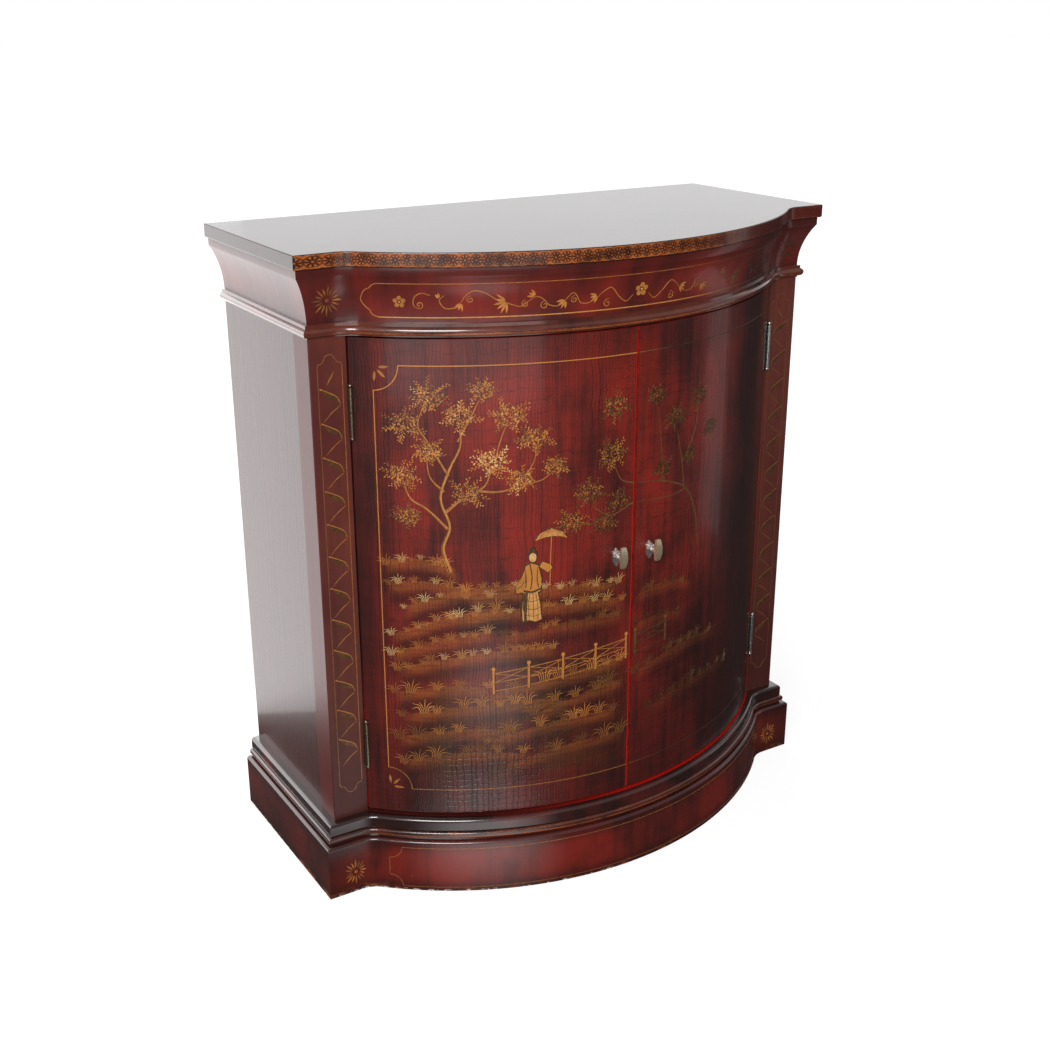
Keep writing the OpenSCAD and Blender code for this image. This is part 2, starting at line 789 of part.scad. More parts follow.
module base_cap_back() {
  x = case_w / 2 + cap_out - cap_w;
  color(bare_wood) placed() translate([-x, -plinth_t, plinth_h]) cube([2 * x, plinth_t, cap_h]);
}

module plinth_front() {
  color(lacquer) placed() front_run(turn_r) plinth_section();
}

module plinth_side(side) {
  color(lacquer) placed() on_side(side) side_run() plinth_section();
}

module plinth_back() {
  x = case_w / 2 + plinth_out - plinth_t;
  color(bare_wood) placed() translate([-x, -plinth_t, 0]) cube([2 * x, plinth_t, plinth_h]);
}

module plinth_blocks() {
  x = case_w / 2 + plinth_out - plinth_t;
  color(bare_wood) placed() for (side = [-1, 1]) on_side(side) {
    glue_block(x, -(case_d + plinth_out - plinth_t), 0, plinth_h - block_h, block_h);
    glue_block(x, -plinth_t, 90, plinth_h - block_h, block_h);
  }
}

module shelf() {
  back_x = case_w / 2 - side_t - shelf_gap;
  front_x = open_x - shelf_gap;
  post_back = -(case_d - post_depth) + shelf_gap;
  color(inside_paint) placed() translate([0, 0, shelf_z]) linear_extrude(shelf_t) union() {
    translate([-back_x, post_back]) square([2 * back_x, shelf_y - post_back]);
    intersection() {
      translate([0, bow_y]) circle(inner_r - shelf_setback, $fn = 240);
      translate([-front_x, -bow_r - case_d]) square([2 * front_x, bow_r + case_d + post_back + over]);
    }
  }
}

module shelf_pins() {
  color(steel) placed() for (side = [-1, 1]) pegs_shape(side, false);
}

module catch_housing() {
  color([0.35, 0.25, 0.18]) placed() difference() {
    translate([0, 0, case_top_z - catch_h]) linear_extrude(catch_h)
      bow_plan(catch_r - catch_d, catch_r, -catch_w / 2, catch_w / 2);
    for (side = [-1, 1]) on_side(side) magnet_shape(over);
    catch_screws_shape(fit);
  }
}

module catch_magnets() {
  color(steel) placed() for (side = [-1, 1]) on_side(side) magnet_shape();
}

module catch_screws() {
  color(steel) placed() catch_screws_shape();
}

module post_hinge_screws() {
  color(old_nickel) placed() for (side = [-1, 1]) hinge_screws_shape(side, true);
}

module hinge_leaf(side, i, is_post) {
  color(old_nickel) placed() at_hinge(side, i) leaf(is_post);
}

module hinge_pin_at(side, i) {
  color(old_nickel) placed() at_hinge(side, i) hinge_pin();
}

module door(side) {
  color(lacquer) placed() door_shape(side);
}

module door_screws(side) {
  color(old_nickel) placed() {
    hinge_screws_shape(side, false);
    strike_screw_shape(side);
  }
}

module strike(side) {
  color(steel) placed() difference() {
    on_side(side) translate([0, 0, strike_z - strike_h / 2]) linear_extrude(strike_h)
      bow_plan(inner_r - strike_t, inner_r, magnet_x - strike_w / 2, magnet_x + strike_w / 2);
    strike_screw_shape(side, fit);
  }
}

module pull_plate(side) {
  color(old_nickel) placed() at_pull(side) pull_plate_shape();
}

module pull_knob(side) {
  color(old_brass) placed() at_pull(side) pull_knob_shape();
}

module pull_bolt(side) {
  color(steel) placed() at_pull(side) pull_bolt_shape();
}

top_board();
top_cleats();
top_screws();
cornice_front();
cornice_side(-1);  // cornice_left
cornice_side(1);  // cornice_right
cornice_back();
cornice_blocks();
bead_front();
bead_side(-1);  // bead_left
bead_side(1);  // bead_right
case_top();
post(-1);  // post_left
post(1);  // post_right
side_panel(-1);  // side_left
side_panel(1);  // side_right
back_panel();
back_screws();
bottom_board();
base_cap_front();
base_cap_side(-1);  // base_cap_left
base_cap_side(1);  // base_cap_right
base_cap_back();
plinth_front();
plinth_side(-1);  // plinth_left
plinth_side(1);  // plinth_right
plinth_back();
plinth_blocks();
shelf();
shelf_pins();
catch_housing();
catch_magnets();
catch_screws();
post_hinge_screws();
hinge_leaf(-1, 1, true);  // upper_left_post_leaf
hinge_leaf(-1, 1, false);  // upper_left_door_leaf
hinge_pin_at(-1, 1);  // upper_left_pin
hinge_leaf(-1, 0, true);  // lower_left_post_leaf
hinge_leaf(-1, 0, false);  // lower_left_door_leaf
hinge_pin_at(-1, 0);  // lower_left_pin
hinge_leaf(1, 1, true);  // upper_right_post_leaf
hinge_leaf(1, 1, false);  // upper_right_door_leaf
hinge_pin_at(1, 1);  // upper_right_pin
hinge_leaf(1, 0, true);  // lower_right_post_leaf
hinge_leaf(1, 0, false);  // lower_right_door_leaf
hinge_pin_at(1, 0);  // lower_right_pin
door(-1);  // door_left
door(1);  // door_right
door_screws(-1);  // left_door_screws
door_screws(1);  // right_door_screws
strike(-1);  // strike_left
strike(1);  // strike_right
pull_plate(-1);  // pull_left_plate
pull_knob(-1);  // pull_left_knob
pull_bolt(-1);  // pull_left_bolt
pull_plate(1);  // pull_right_plate
pull_knob(1);  // pull_right_knob
pull_bolt(1);  // pull_right_bolt
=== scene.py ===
"""Looks of the hall chest: lacquered mouldings and doors, gilt ornament, hinges, pulls and stage."""
import bpy
import bmesh
import json
import math
import random
import numpy as np
from bpy.props import FloatProperty, FloatVectorProperty, IntProperty, PointerProperty
from mathutils import Matrix, Vector


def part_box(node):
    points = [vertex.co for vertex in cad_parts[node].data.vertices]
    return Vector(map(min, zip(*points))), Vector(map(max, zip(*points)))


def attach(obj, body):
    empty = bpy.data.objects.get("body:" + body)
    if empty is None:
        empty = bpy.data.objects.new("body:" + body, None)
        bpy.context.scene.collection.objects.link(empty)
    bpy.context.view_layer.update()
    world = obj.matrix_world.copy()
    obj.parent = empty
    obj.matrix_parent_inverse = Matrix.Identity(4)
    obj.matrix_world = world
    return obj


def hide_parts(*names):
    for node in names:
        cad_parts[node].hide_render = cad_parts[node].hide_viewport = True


bl_info = {
    "name": "Hall Chest",
    "version": (1, 0, 0),
    "blender": (4, 5, 0),
    "location": "View3D > Sidebar > Hall Chest",
    "description": "Builds the lacquer, gilding and fittings of a bow-front hall chest",
    "category": "Object",
}

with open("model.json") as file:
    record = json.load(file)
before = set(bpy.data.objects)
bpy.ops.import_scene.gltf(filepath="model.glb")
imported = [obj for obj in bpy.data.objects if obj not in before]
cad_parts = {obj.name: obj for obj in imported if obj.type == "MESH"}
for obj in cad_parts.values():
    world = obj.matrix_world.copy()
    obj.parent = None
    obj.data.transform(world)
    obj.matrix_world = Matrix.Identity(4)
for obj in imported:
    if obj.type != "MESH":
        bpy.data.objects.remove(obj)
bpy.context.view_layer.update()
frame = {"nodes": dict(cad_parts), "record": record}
MM = 0.001
DOOR_THICK = 19 * MM
SHARP = math.radians(32)


def span(node):
    """Lowest and highest corner of a node as plain tuples."""
    low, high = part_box(node)
    return tuple(low), tuple(high)


# Driving lengths, read from the frame
(CASE_LEFT, CASE_FRONT, SILL_Z), (OPEN_LEFT, _, CASE_TOP_Z) = span("post_left")
CASE_HALF = -CASE_LEFT
OPEN_HALF = -OPEN_LEFT
BACK = span("side_left")[1][1]
(DOOR_LEFT, DOOR_FRONT, DOOR_FOOT), (DOOR_MEET, _, DOOR_HEAD) = span("door_left")
BOW_RISE = CASE_FRONT - DOOR_FRONT
BOW_R = (OPEN_HALF ** 2 + BOW_RISE ** 2) / (2 * BOW_RISE)
BOW_Y = DOOR_FRONT + BOW_R
TOP_LOW, TOP_HIGH = span("top_board")
CORNICE_LOW = span("cornice_left")[0]
CAP_LOW, CAP_HIGH = span("base_cap_left")
PLINTH_LOW, PLINTH_HIGH = span("plinth_left")
LEDGE_LOW, LEDGE_HIGH = span("bottom_board")


def paint(red, green, blue):
    """Linear colour of a screen colour given from 0 to 255."""
    def line(value):
        value /= 255
        return value / 12.92 if value <= 0.04045 else ((value + 0.055) / 1.055) ** 2.4
    return (line(red), line(green), line(blue))


def length(name, note, default):
    return FloatProperty(name=name, description=note, default=default, unit="LENGTH", precision=4)


def colour(name, note, default):
    return FloatVectorProperty(name=name, description=note, subtype="COLOR", size=3,
                               min=0, max=1, default=default)


class ChestMouldings(bpy.types.PropertyGroup):
    """Sizes of the moulding sections"""
    turn: length("Turn", "Radius of the hollow turn from ear to bow", 60 * MM)
    ledge_turn: length("Ledge turn", "Radius of the same turn at the ledge", 58 * MM)
    board_in: length("Board edge", "How far the shaped edge of a board reaches inwards", 12 * MM)
    top_round: length("Top round", "Rounding of the upper edge of the top", 1.5 * MM)
    top_round_low: length("Top round, low", "Rounding of its lower edge", 2.5 * MM)
    strip: length("Strip", "Height of the flat strip under the top board", 10.4 * MM)
    cornice_wall: length("Cornice wall", "Thickness of the cornice at its foot", 20 * MM)
    bead: length("Bead", "Radius of the bead", 6 * MM)
    bead_out: length("Bead out", "How far the bead stands out", 7.5 * MM)
    bead_foot: length("Bead foot", "Height of the edge under the bead", 2 * MM)
    bead_flat: length("Bead flat", "How far the flat over the bead stands out", 3.5 * MM)
    cap_w: length("Cap width", "Width of the moulding on the plinth", 28 * MM)
    cap_round: length("Cap round", "Rounding of its bead", 3 * MM)
    quirk_h: length("Quirk height", "Height of the groove under that bead", 2.5 * MM)
    quirk_d: length("Quirk depth", "Depth of that groove", 4 * MM)
    ledge_round: length("Ledge round", "Rounding of the upper edge of the ledge", 5 * MM)
    ledge_round_low: length("Ledge round, low", "Rounding of its lower edge", 2 * MM)
    plinth_wall: length("Plinth wall", "Thickness of the plinth", 20 * MM)
    plinth_round: length("Plinth round", "Rounding of its upper edge", 4.5 * MM)
    plinth_round_low: length("Plinth round, low", "Rounding of its lower edge", 1 * MM)


class ChestFinish(bpy.types.PropertyGroup):
    """Colours of the finishes"""
    red: colour("Red", "Lacquer where it is freshest", paint(140, 38, 27))
    maroon: colour("Maroon", "Shaded lacquer", paint(84, 30, 26))
    # This black glaze also serves as painted shade in the cove, on the doors and in the gaps by the posts.
    black_glaze_and_shade: colour("Night", "Nearly black glaze in corners and streaks", paint(34, 18, 17))
    scarlet: colour("Scarlet", "Ground colour where the glaze is thin", paint(198, 32, 24))
    rust: colour("Rust", "Browner lacquer of the posts", paint(112, 50, 36))
    umber: colour("Umber", "Brown black of the mouldings", paint(42, 23, 20))
    copper: colour("Copper", "Rubbed edges of the mouldings", paint(172, 92, 44))
    ochre: colour("Ochre", "Brushed hillocks of the landscape", paint(150, 84, 36))
    gold: colour("Gold", "Gilt paint", paint(200, 128, 54))
    old_gold: colour("Old gold", "Shaded gilt paint", paint(122, 80, 38))
    cream: colour("Cream", "Lights of the gilt paint", paint(230, 196, 132))
    inside: colour("Inside", "Red paint inside", paint(150, 22, 16))
    wood: colour("Wood", "Bare secondary wood", paint(176, 138, 96))
    steel: colour("Steel", "Screws, strikes and magnets", paint(168, 168, 170))
    nickel: colour("Nickel", "Old nickel of the hinges", paint(138, 124, 104))
    silver: colour("Silver", "Plates and stems of the pulls", paint(232, 228, 220))
    brass: colour("Brass", "Grips of the pulls", paint(226, 204, 168))


class ChestPainting(bpy.types.PropertyGroup):
    """Sizes of the gilt ornament"""
    relief: length("Relief", "Thickness of the gilt paint", 0.16 * MM)
    line: length("Line", "Width of a border line", 1.5 * MM)
    border_side: length("Side border", "Distance of the door border from the outer edge", 31.5 * MM)
    border_head: length("Head border", "Distance of the door border from the head", 34.5 * MM)
    border_foot: length("Foot border", "Distance of the door border from the foot", 36.8 * MM)
    corner: length("Corner", "Radius of the hollow corners of the border", 33 * MM)
    leaf: length("Leaf", "Length of a painted leaf", 5 * MM)
    floret: length("Floret", "Pitch of the florets on the top edge", 13.5 * MM)
    seed: IntProperty(name="Seed", description="Seed of the painted leaves", default=7, min=0)


def moulding():
    return bpy.context.scene.chest_mouldings


def finish():
    return bpy.context.scene.chest_finish


def painting():
    return bpy.context.scene.chest_painting


def tint(name, share=1.0):
    """Colour of the finish with that name, or a share of it."""
    return tuple(share * c for c in getattr(finish(), name))


def overhang(low):
    """How far a piece stands out past the case, from its lowest corner."""
    return -low[0] - CASE_HALF


class Run:
    """Line of a moulding in plan: left side, ear, turn, bow, turn, ear, right side."""

    def __init__(self, turn):
        front = CASE_FRONT - BOW_Y
        angle = math.acos((front - turn) / -(BOW_R + turn))
        centre = ((BOW_R + turn) * math.sin(angle), CASE_FRONT - turn)
        self.turn, self.angle, self.centre = turn, angle, centre
        self.bow = BOW_R * angle
        self.hollow = self.bow + turn * angle
        self.corner = self.hollow + CASE_HALF - centre[0]
        self.end = self.corner + BACK - CASE_FRONT

    def at(self, s):
        """Place and outward normal at length s, which is 0 at the middle of the bow."""
        side = -1 if s < 0 else 1
        s = abs(s)
        if s <= self.bow:
            a = s / BOW_R
            return (side * BOW_R * math.sin(a), BOW_Y - BOW_R * math.cos(a),
                    side * math.sin(a), -math.cos(a))
        if s <= self.hollow:
            a = self.angle - (s - self.bow) / self.turn
            x = self.centre[0] - self.turn * math.sin(a)
            return side * x, self.centre[1] + self.turn * math.cos(a), side * math.sin(a), -math.cos(a)
        if s <= self.corner:
            return side * (self.centre[0] + s - self.hollow), CASE_FRONT, 0, -1
        return side * CASE_HALF, CASE_FRONT + s - self.corner, side, 0

    def samples(self):
        """Lengths, places and offset directions from the left back to the right back."""
        half = [(s, *self.at(s)) for s in np.linspace(0, self.bow, 60)]
        half += [(s, *self.at(s)) for s in np.linspace(self.bow, self.hollow, 17)[1:]]
        half += [(self.corner, CASE_HALF, CASE_FRONT, 1, -1)]
        half += [(s, *self.at(s)) for s in np.linspace(self.corner, self.end, 9)[1:]]
        left = [(-s, -x, y, -nx, ny) for s, x, y, nx, ny in reversed(half[1:])]
        return left + half


def section(corners):
    """Closed outline of a section from its corners: out, height, rounding and rubbing.
    A rounded corner becomes an arc, and its points carry the rubbing."""
    points = []
    count = len(corners)
    for i, (d, z, r, rub) in enumerate(corners):
        here = Vector((d, z))
        if not r:
            points.append((d, z, rub))
            continue
        back = (Vector(corners[i - 1][:2]) - here).normalized()
        ahead = (Vector(corners[(i + 1) % count][:2]) - here).normalized()
        half = back.angle(ahead) / 2
        reach = r / math.tan(half)
        centre = here + (back + ahead).normalized() * (r / math.sin(half))
        start = here + back * reach - centre
        turn = start.angle_signed(here + ahead * reach - centre)
        points.append((*(here + back * (reach + 0.5 * MM)), 0))
        for k in range(7):
            spoke = start.copy()
            spoke.rotate(Matrix.Rotation(-turn * k / 6, 2))
            points.append((*(centre + spoke), rub))
        points.append((*(here + ahead * (reach + 0.5 * MM)), 0))
    return points


def linked(name, bm, mesh=None):
    """Object of a mesh under construction, with its faces turned outwards."""
    bmesh.ops.recalc_face_normals(bm, faces=bm.faces)
    mesh = mesh or bpy.data.meshes.new(name)
    bm.to_mesh(mesh)
    bm.free()
    piece = bpy.data.objects.new(name, mesh)
    bpy.context.scene.collection.objects.link(piece)
    return piece


def new_object(name, vertices, faces):
    """Flat shaded object."""
    mesh = bpy.data.meshes.new(name)
    mesh.from_pydata([tuple(v) for v in vertices], [], faces)
    mesh.validate()
    bm = bmesh.new()
    bm.from_mesh(mesh)
    return linked(name, bm, mesh)


def sweep(name, turn, corners, board=False):
    """A moulding that follows the run of the chest, open at the back, or a board with that edge."""
    outline = section(corners)
    width = len(outline)
    climb = [0.0]
    for (d0, z0, _), (d1, z1, _) in zip(outline, outline[1:] + outline[:1]):
        climb.append(climb[-1] + math.hypot(d1 - d0, z1 - z0))
    bm = bmesh.new()
    uv = bm.loops.layers.uv.new("UVMap")
    rub_layer = bm.verts.layers.float.new("rub")
    grid, along = [], []
    for s, x, y, nx, ny in Run(turn).samples():
        grid.append([bm.verts.new((x + nx * d, min(y + ny * d, BACK), z)) for d, z, _ in outline])
        along.append(s)
        for vert, (*_, rub) in zip(grid[-1], outline):
            vert[rub_layer] = rub
    for i in range(len(grid) - 1):
        for j in range(width - 1 if board else width):
            steps = [(i, j), (i + 1, j), (i + 1, j + 1), (i, j + 1)]
            face = bm.faces.new([grid[a][b % width] for a, b in steps])
            for loop, (a, b) in zip(face.loops, steps):
                loop[uv].uv = (along[a], climb[b])
    if board:
        for j in (0, width - 1):
            bm.faces.new([row[j] for row in grid])
        bm.faces.new(grid[0] + grid[-1][::-1])
    else:
        bm.faces.new(grid[0])
        bm.faces.new(grid[-1])
    piece = linked(name, bm)
    piece.data.polygons.foreach_set("use_smooth", [True] * len(piece.data.polygons))
    piece.data.set_sharp_from_angle(angle=SHARP)
    return piece


def fitted(piece, material, slot, *nodes, body="case"):
    """Gives a piece its material and its place in the frame, in stead of the named nodes."""
    piece.data.materials.clear()
    piece.data.materials.append(material)
    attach(piece, body)
    if nodes:
        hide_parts(*nodes)
    return piece


def wired(operation):
    """A method that puts a wire, and others where it takes them, through one operation."""
    def method(self, *others):
        return self.call(operation, *others)
    return method


class Wire:
    """An output in a material, so that sums are written as Python."""

    def __init__(self, shader, socket):
        self.shader, self.socket = shader, socket

    def call(self, operation, *others):
        return self.shader.maths(operation, self, *others)

    __add__ = __radd__ = wired("ADD")
    __mul__ = __rmul__ = wired("MULTIPLY")
    __sub__ = wired("SUBTRACT")
    __truediv__ = wired("DIVIDE")
    __pow__ = wired("POWER")
    __abs__ = wired("ABSOLUTE")
    most = wired("MAXIMUM")
    fract = wired("FRACT")
    root = wired("SQRT")

    def __rsub__(self, other):
        return self.shader.maths("SUBTRACT", other, self)

    def step(self, low, high):
        """0 below low and 1 above high, with a soft change between."""
        return self.shader.add("MapRange", {"interpolation_type": "SMOOTHSTEP"},
                               {"Value": self, "From Min": low, "From Max": high})

    def band(self, middle, half, soft):
        """1 within half of middle, falling to 0 over soft."""
        return 1 - abs(self - middle).step(half, half + soft)


class Shader:
    """A material, or a world, whose nodes are added by calls, with a base that colours are
    laid on. A colour is a wire, three numbers or the name of a finish."""

    def __init__(self, name, kind="materials"):
        self.material = getattr(bpy.data, kind).new(name)
        self.material.use_nodes = True
        self.tree = self.material.node_tree
        self.tree.nodes.clear()
        self.where = self.add("TexCoord", out="Object")
        self.x, self.y, self.z = self.split(self.where)

    def add(self, kind, settings=None, sockets=None, out=0):
        node = self.tree.nodes.new("ShaderNode" + kind)
        for key, value in (settings or {}).items():
            setattr(node, key, value)
        for key, value in (sockets or {}).items():
            self.feed(node.inputs[key], value)
        return Wire(self, node.outputs[out])

    def feed(self, socket, value):
        if isinstance(value, str):
            value = tint(value)
        if isinstance(value, Wire):
            self.tree.links.new(value.socket, socket)
        elif hasattr(socket.default_value, "__len__") and len(socket.default_value) == 4:
            socket.default_value = (*value, 1)
        else:
            socket.default_value = value

    def maths(self, operation, *values):
        return self.add("Math", {"operation": operation}, dict(enumerate(values)))

    def split(self, vector):
        node = self.tree.nodes.new("ShaderNodeSeparateXYZ")
        self.feed(node.inputs[0], vector)
        return [Wire(self, out) for out in node.outputs]

    def join(self, x, y, z=0.0):
        return self.add("CombineXYZ", None, {0: x, 1: y, 2: z})

    def along(self):
        """Length along the run of a moulding."""
        return self.split(self.add("TexCoord", out="UV"))[0]

    def radius(self):
        """Distance from the axis of the bow."""
        reach = BOW_Y - self.y
        return (self.x * self.x + reach * reach).root()

    def noise(self, scale, detail=4.0, rough=0.55, warp=0.0, on=None):
        """Noise with one scale, or with one for each axis, on the place or another vector."""
        vector = on or self.where
        if isinstance(scale, tuple):
            vector = self.add("VectorMath", {"operation": "MULTIPLY"}, {0: vector, 1: scale})
            scale = 1
        return self.add("TexNoise", None, {"Vector": vector, "Scale": scale, "Detail": detail,
                                           "Roughness": rough, "Distortion": warp})

    def lines(self, place, scale, low, high, gate):
        """Cracks at uneven distances, about scale of them to the metre."""
        cell = self.add("TexVoronoi", {"voronoi_dimensions": "1D", "feature": "DISTANCE_TO_EDGE"},
                        {"W": place, "Scale": scale, "Randomness": 0.95})
        return (1 - cell.step(low, high)) * gate

    def attribute(self, name):
        return self.add("Attribute", {"attribute_name": name}, out="Fac")

    def mix(self, low, high, factor):
        """Colour between two others. The node's sockets 6, 7 and 2 are its colour ones."""
        return self.add("Mix", {"data_type": "RGBA"}, {"Factor": factor, 6: low, 7: high}, 2)

    def coat(self, colour, factor):
        """Lays a colour on the base."""
        self.base = self.mix(self.base, colour, factor)

    def bump(self, height, distance):
        return self.add("Bump", None, {"Height": height, "Distance": distance, "Strength": 1.0})

    def surface(self, **sockets):
        """Closes the material with a Principled surface."""
        sockets = {key.replace("_", " "): value for key, value in sockets.items()}
        return self.close(self.add("BsdfPrincipled", None, {"Base Color": self.base, **sockets}))

    def close(self, surface, kind="OutputMaterial"):
        out = self.tree.nodes.new("ShaderNode" + kind)
        self.tree.links.new(surface.socket, out.inputs["Surface"])
        return self.material

    def gloss(self, rough, height, distance, coat=0.35):
        """Closes a lacquer with its own gloss."""
        return self.surface(Roughness=rough, Coat_Weight=coat, Coat_Roughness=0.1,
                            Normal=self.bump(height, distance))


def rubbed(mat, rim):
    """Copper that shows through where the edges of the bow are rubbed. Returns its mask."""
    patch, fine = mat.noise(16, 5, 0.7), mat.noise(640, 3, 0.75)
    bow = mat.x.step(-0.4, -0.3) * (1 - mat.x.step(0.05, 0.32) * 0.75)
    mask = (mat.attribute("rub") * (patch * 0.8 + fine * 0.75)).step(0.58, 0.8) * bow
    mat.coat("copper", mask * rim)
    return mask


def cracks(mat, along, up, upright=330.0, level=85.0):
    """Woven cracks of the old lacquer: dense upright lines and sparser level ones."""
    flat = mat.join(along, up)
    warp = mat.noise(16, 3, 0.6, on=flat) + mat.noise(70, 2, 0.5, on=flat) * 0.35
    fine, wide = mat.noise((30, 5, 1), 4, 0.6, on=flat), mat.noise((12, 7, 1), 4, 0.6, 0.4, flat)
    threads = mat.lines(along + warp * 0.011, upright * 0.65, 0.04, 0.18, fine.step(0.34, 0.54) * 0.75)
    weft = mat.lines(up + warp * 0.012, level * 2.2, 0.04, 0.2, fine.step(0.4, 0.6) * 0.3)
    deep = mat.lines(along + warp * 0.012, upright * 0.3, 0.02, 0.09, wide.step(0.44, 0.56))
    shelf = mat.lines(up + warp * 0.03, level * 0.7, 0.012, 0.05, (1 - wide).step(0.42, 0.54) * 0.8)
    return threads.most(deep), weft.most(shelf)


def clouds(mat, flat):
    """Soft clouds of the glaze."""
    return mat.noise((9, 5, 9), 4, 0.55, on=flat)


def glazed(mat, along, low, high, dark):
    """Lacquer between two tones with dark glaze in its brush streaks, which it returns."""
    flat = mat.join(along, mat.z)
    drawn, crossing = mat.noise((75, 3.0, 75), 6, 0.64, on=flat), mat.noise((14, 150, 14), 4, 0.6, on=flat)
    streak = drawn * 0.78 + crossing * 0.22
    cloud = clouds(mat, flat)
    mat.base = mat.mix(low, high, cloud.step(0.3, 0.66))
    mat.coat("black_glaze_and_shade", (streak * 0.6 + (1 - cloud) * 0.4).step(0.45, 0.68) * dark)
    return streak


def moulding_lacquer(name, brown):
    """Brown black lacquer of bead and plinth cap, rubbed on its edges. Brown is its share of rust."""
    mat = Shader(name)
    mat.base = mat.mix("umber", "rust", mat.noise(11).step(0.3, 0.6) * brown)
    mask = rubbed(mat, 0.9)
    grain = mat.noise(60, 4, 0.6)
    return mat.gloss(0.2 + mask * 0.25 + grain * 0.06, grain, 0.00008, 0.9)


def ledge_lacquer():
    """The same on the ledge, whose inner strip by the doors stays scarlet."""
    mat = Shader("ledge_lacquer")
    mat.base = mat.mix("umber", "maroon", mat.noise(11).step(0.45, 0.7))
    inner = 1 - mat.radius().step(BOW_R + 0.8 * MM, BOW_R + 2.6 * MM)
    opening = 1 - abs(mat.x).step(OPEN_HALF - 2 * MM, OPEN_HALF + 1 * MM)
    mat.coat(mat.mix("maroon", "scarlet", mat.x.step(-0.22, 0.06)), inner * opening * 0.85)
    mask = rubbed(mat, 0.4)
    grain = mat.noise(40, 4, 0.5)
    return mat.gloss(0.17 + mask * 0.25 + grain * 0.08, grain, 0.00006, 0.9)


def red_lacquer():
    """Streaked red lacquer of the cornice, with painted shade along its foot and its strip, on its ends and
    on its right part.
    """
    mat = Shader("red_lacquer")
    along = mat.along()
    streak = glazed(mat, along, "maroon", "red", 0.45)
    height = (mat.z - CORNICE_LOW[2]) / (TOP_LOW[2] - CORNICE_LOW[2])
    # Painted shade: darker along the foot and the strip of the cove, lighter in its middle.
    mat.coat("black_glaze_and_shade", (1 - height.band(0.46, 0.2, 0.3)) * 0.45)
    # Painted shade in umber on the ends and towards the right, where the light falls off.
    mat.coat("umber", abs(along).step(0.44, 0.47).most(along.step(0.12, 0.3)) * 0.5)
    mask = rubbed(mat, 0.4)
    weave = mat.noise((520, 30, 1), 4, 0.6, on=mat.join(along, mat.z))
    return mat.gloss(0.26 + streak * 0.12 + mask * 0.2, weave, 0.0001)


def plinth_lacquer():
    """Red lacquer of the plinth: dark arris, scuffs and bare scratches along its foot."""
    mat = Shader("plinth_lacquer")
    along, z = mat.along(), mat.z
    streak = glazed(mat, along, "maroon", "red", 0.6)
    rim = 1 - z.band(PLINTH_HIGH[2] * 0.5, 0.016, 0.022)
    mat.coat("black_glaze_and_shade", 0.25 + rim * 0.5)
    mat.coat("umber", abs(along).step(0.36, 0.46) * 0.6)
    foot = (1 - z.step(0.001, 0.012)) * mat.noise((22, 22, 60), 6, 0.75).step(0.5, 0.62)
    scratch = mat.noise((60, 420, 1), 3, 0.6, 0.6, mat.join(along, z))
    bare = (scratch.step(0.71, 0.74) * mat.noise(12, 2).step(0.55, 0.62)).most(foot)
    mat.coat("copper", bare * 0.6)
    chalk = (1 - z.step(0.0008, 0.004)) * mat.noise(130, 4, 0.7).step(0.54, 0.6)
    mat.coat("silver", chalk * (1 - mat.x.step(-0.1, 0.05)) * 0.8)
    return mat.gloss(0.24 + bare * 0.3 + streak * 0.08, mat.noise(26, 5, 0.6), 0.0009, 0.6)


# Hillocks of the landscape in mm: left end, right end, height at both, rise between, strength
HILLOCKS = (
    (-352, -248, 498, 486, 14, 1.0), (-350, -222, 470, 452, 10, 0.9), (-330, -160, 434, 466, 10, 1.0),
    (-246, -14, 450, 446, 8, 0.9), (-348, -176, 392, 436, 8, 1.0), (-262, -6, 418, 420, 12, 0.95),
    (-350, -196, 362, 398, 8, 0.9), (-206, -6, 388, 400, 6, 0.6), (-342, -110, 342, 366, 12, 1.0),
    (-346, -204, 304, 312, 8, 0.9), (-228, -6, 298, 330, 6, 0.9), (-338, -96, 270, 284, 10, 0.85),
    (-156, -6, 262, 296, 8, 0.7), (-342, -176, 234, 244, 10, 0.75), (-224, -16, 228, 250, 12, 0.75),
    (-338, -150, 198, 206, 10, 0.65), (-196, -6, 188, 212, 10, 0.55),
    # The hillocks on the right door are weaker: partly darker glaze, partly painted shade.
    (4, 120, 422, 414, 10, 0.4), (4, 100, 376, 370, 8, 0.3), (4, 190, 300, 318, 12, 0.35),
    (30, 230, 236, 250, 10, 0.2))
# Feet of the small figure, in mm
STROLLER = (-152, 408)


def crest(hillock, share):
    """Height of a hillock in mm at a share of its width, for a number or a wire."""
    _, _, foot_left, foot_right, rise, _ = hillock
    return foot_left + (foot_right - foot_left) * share + rise * 4 * share * (1 - share)


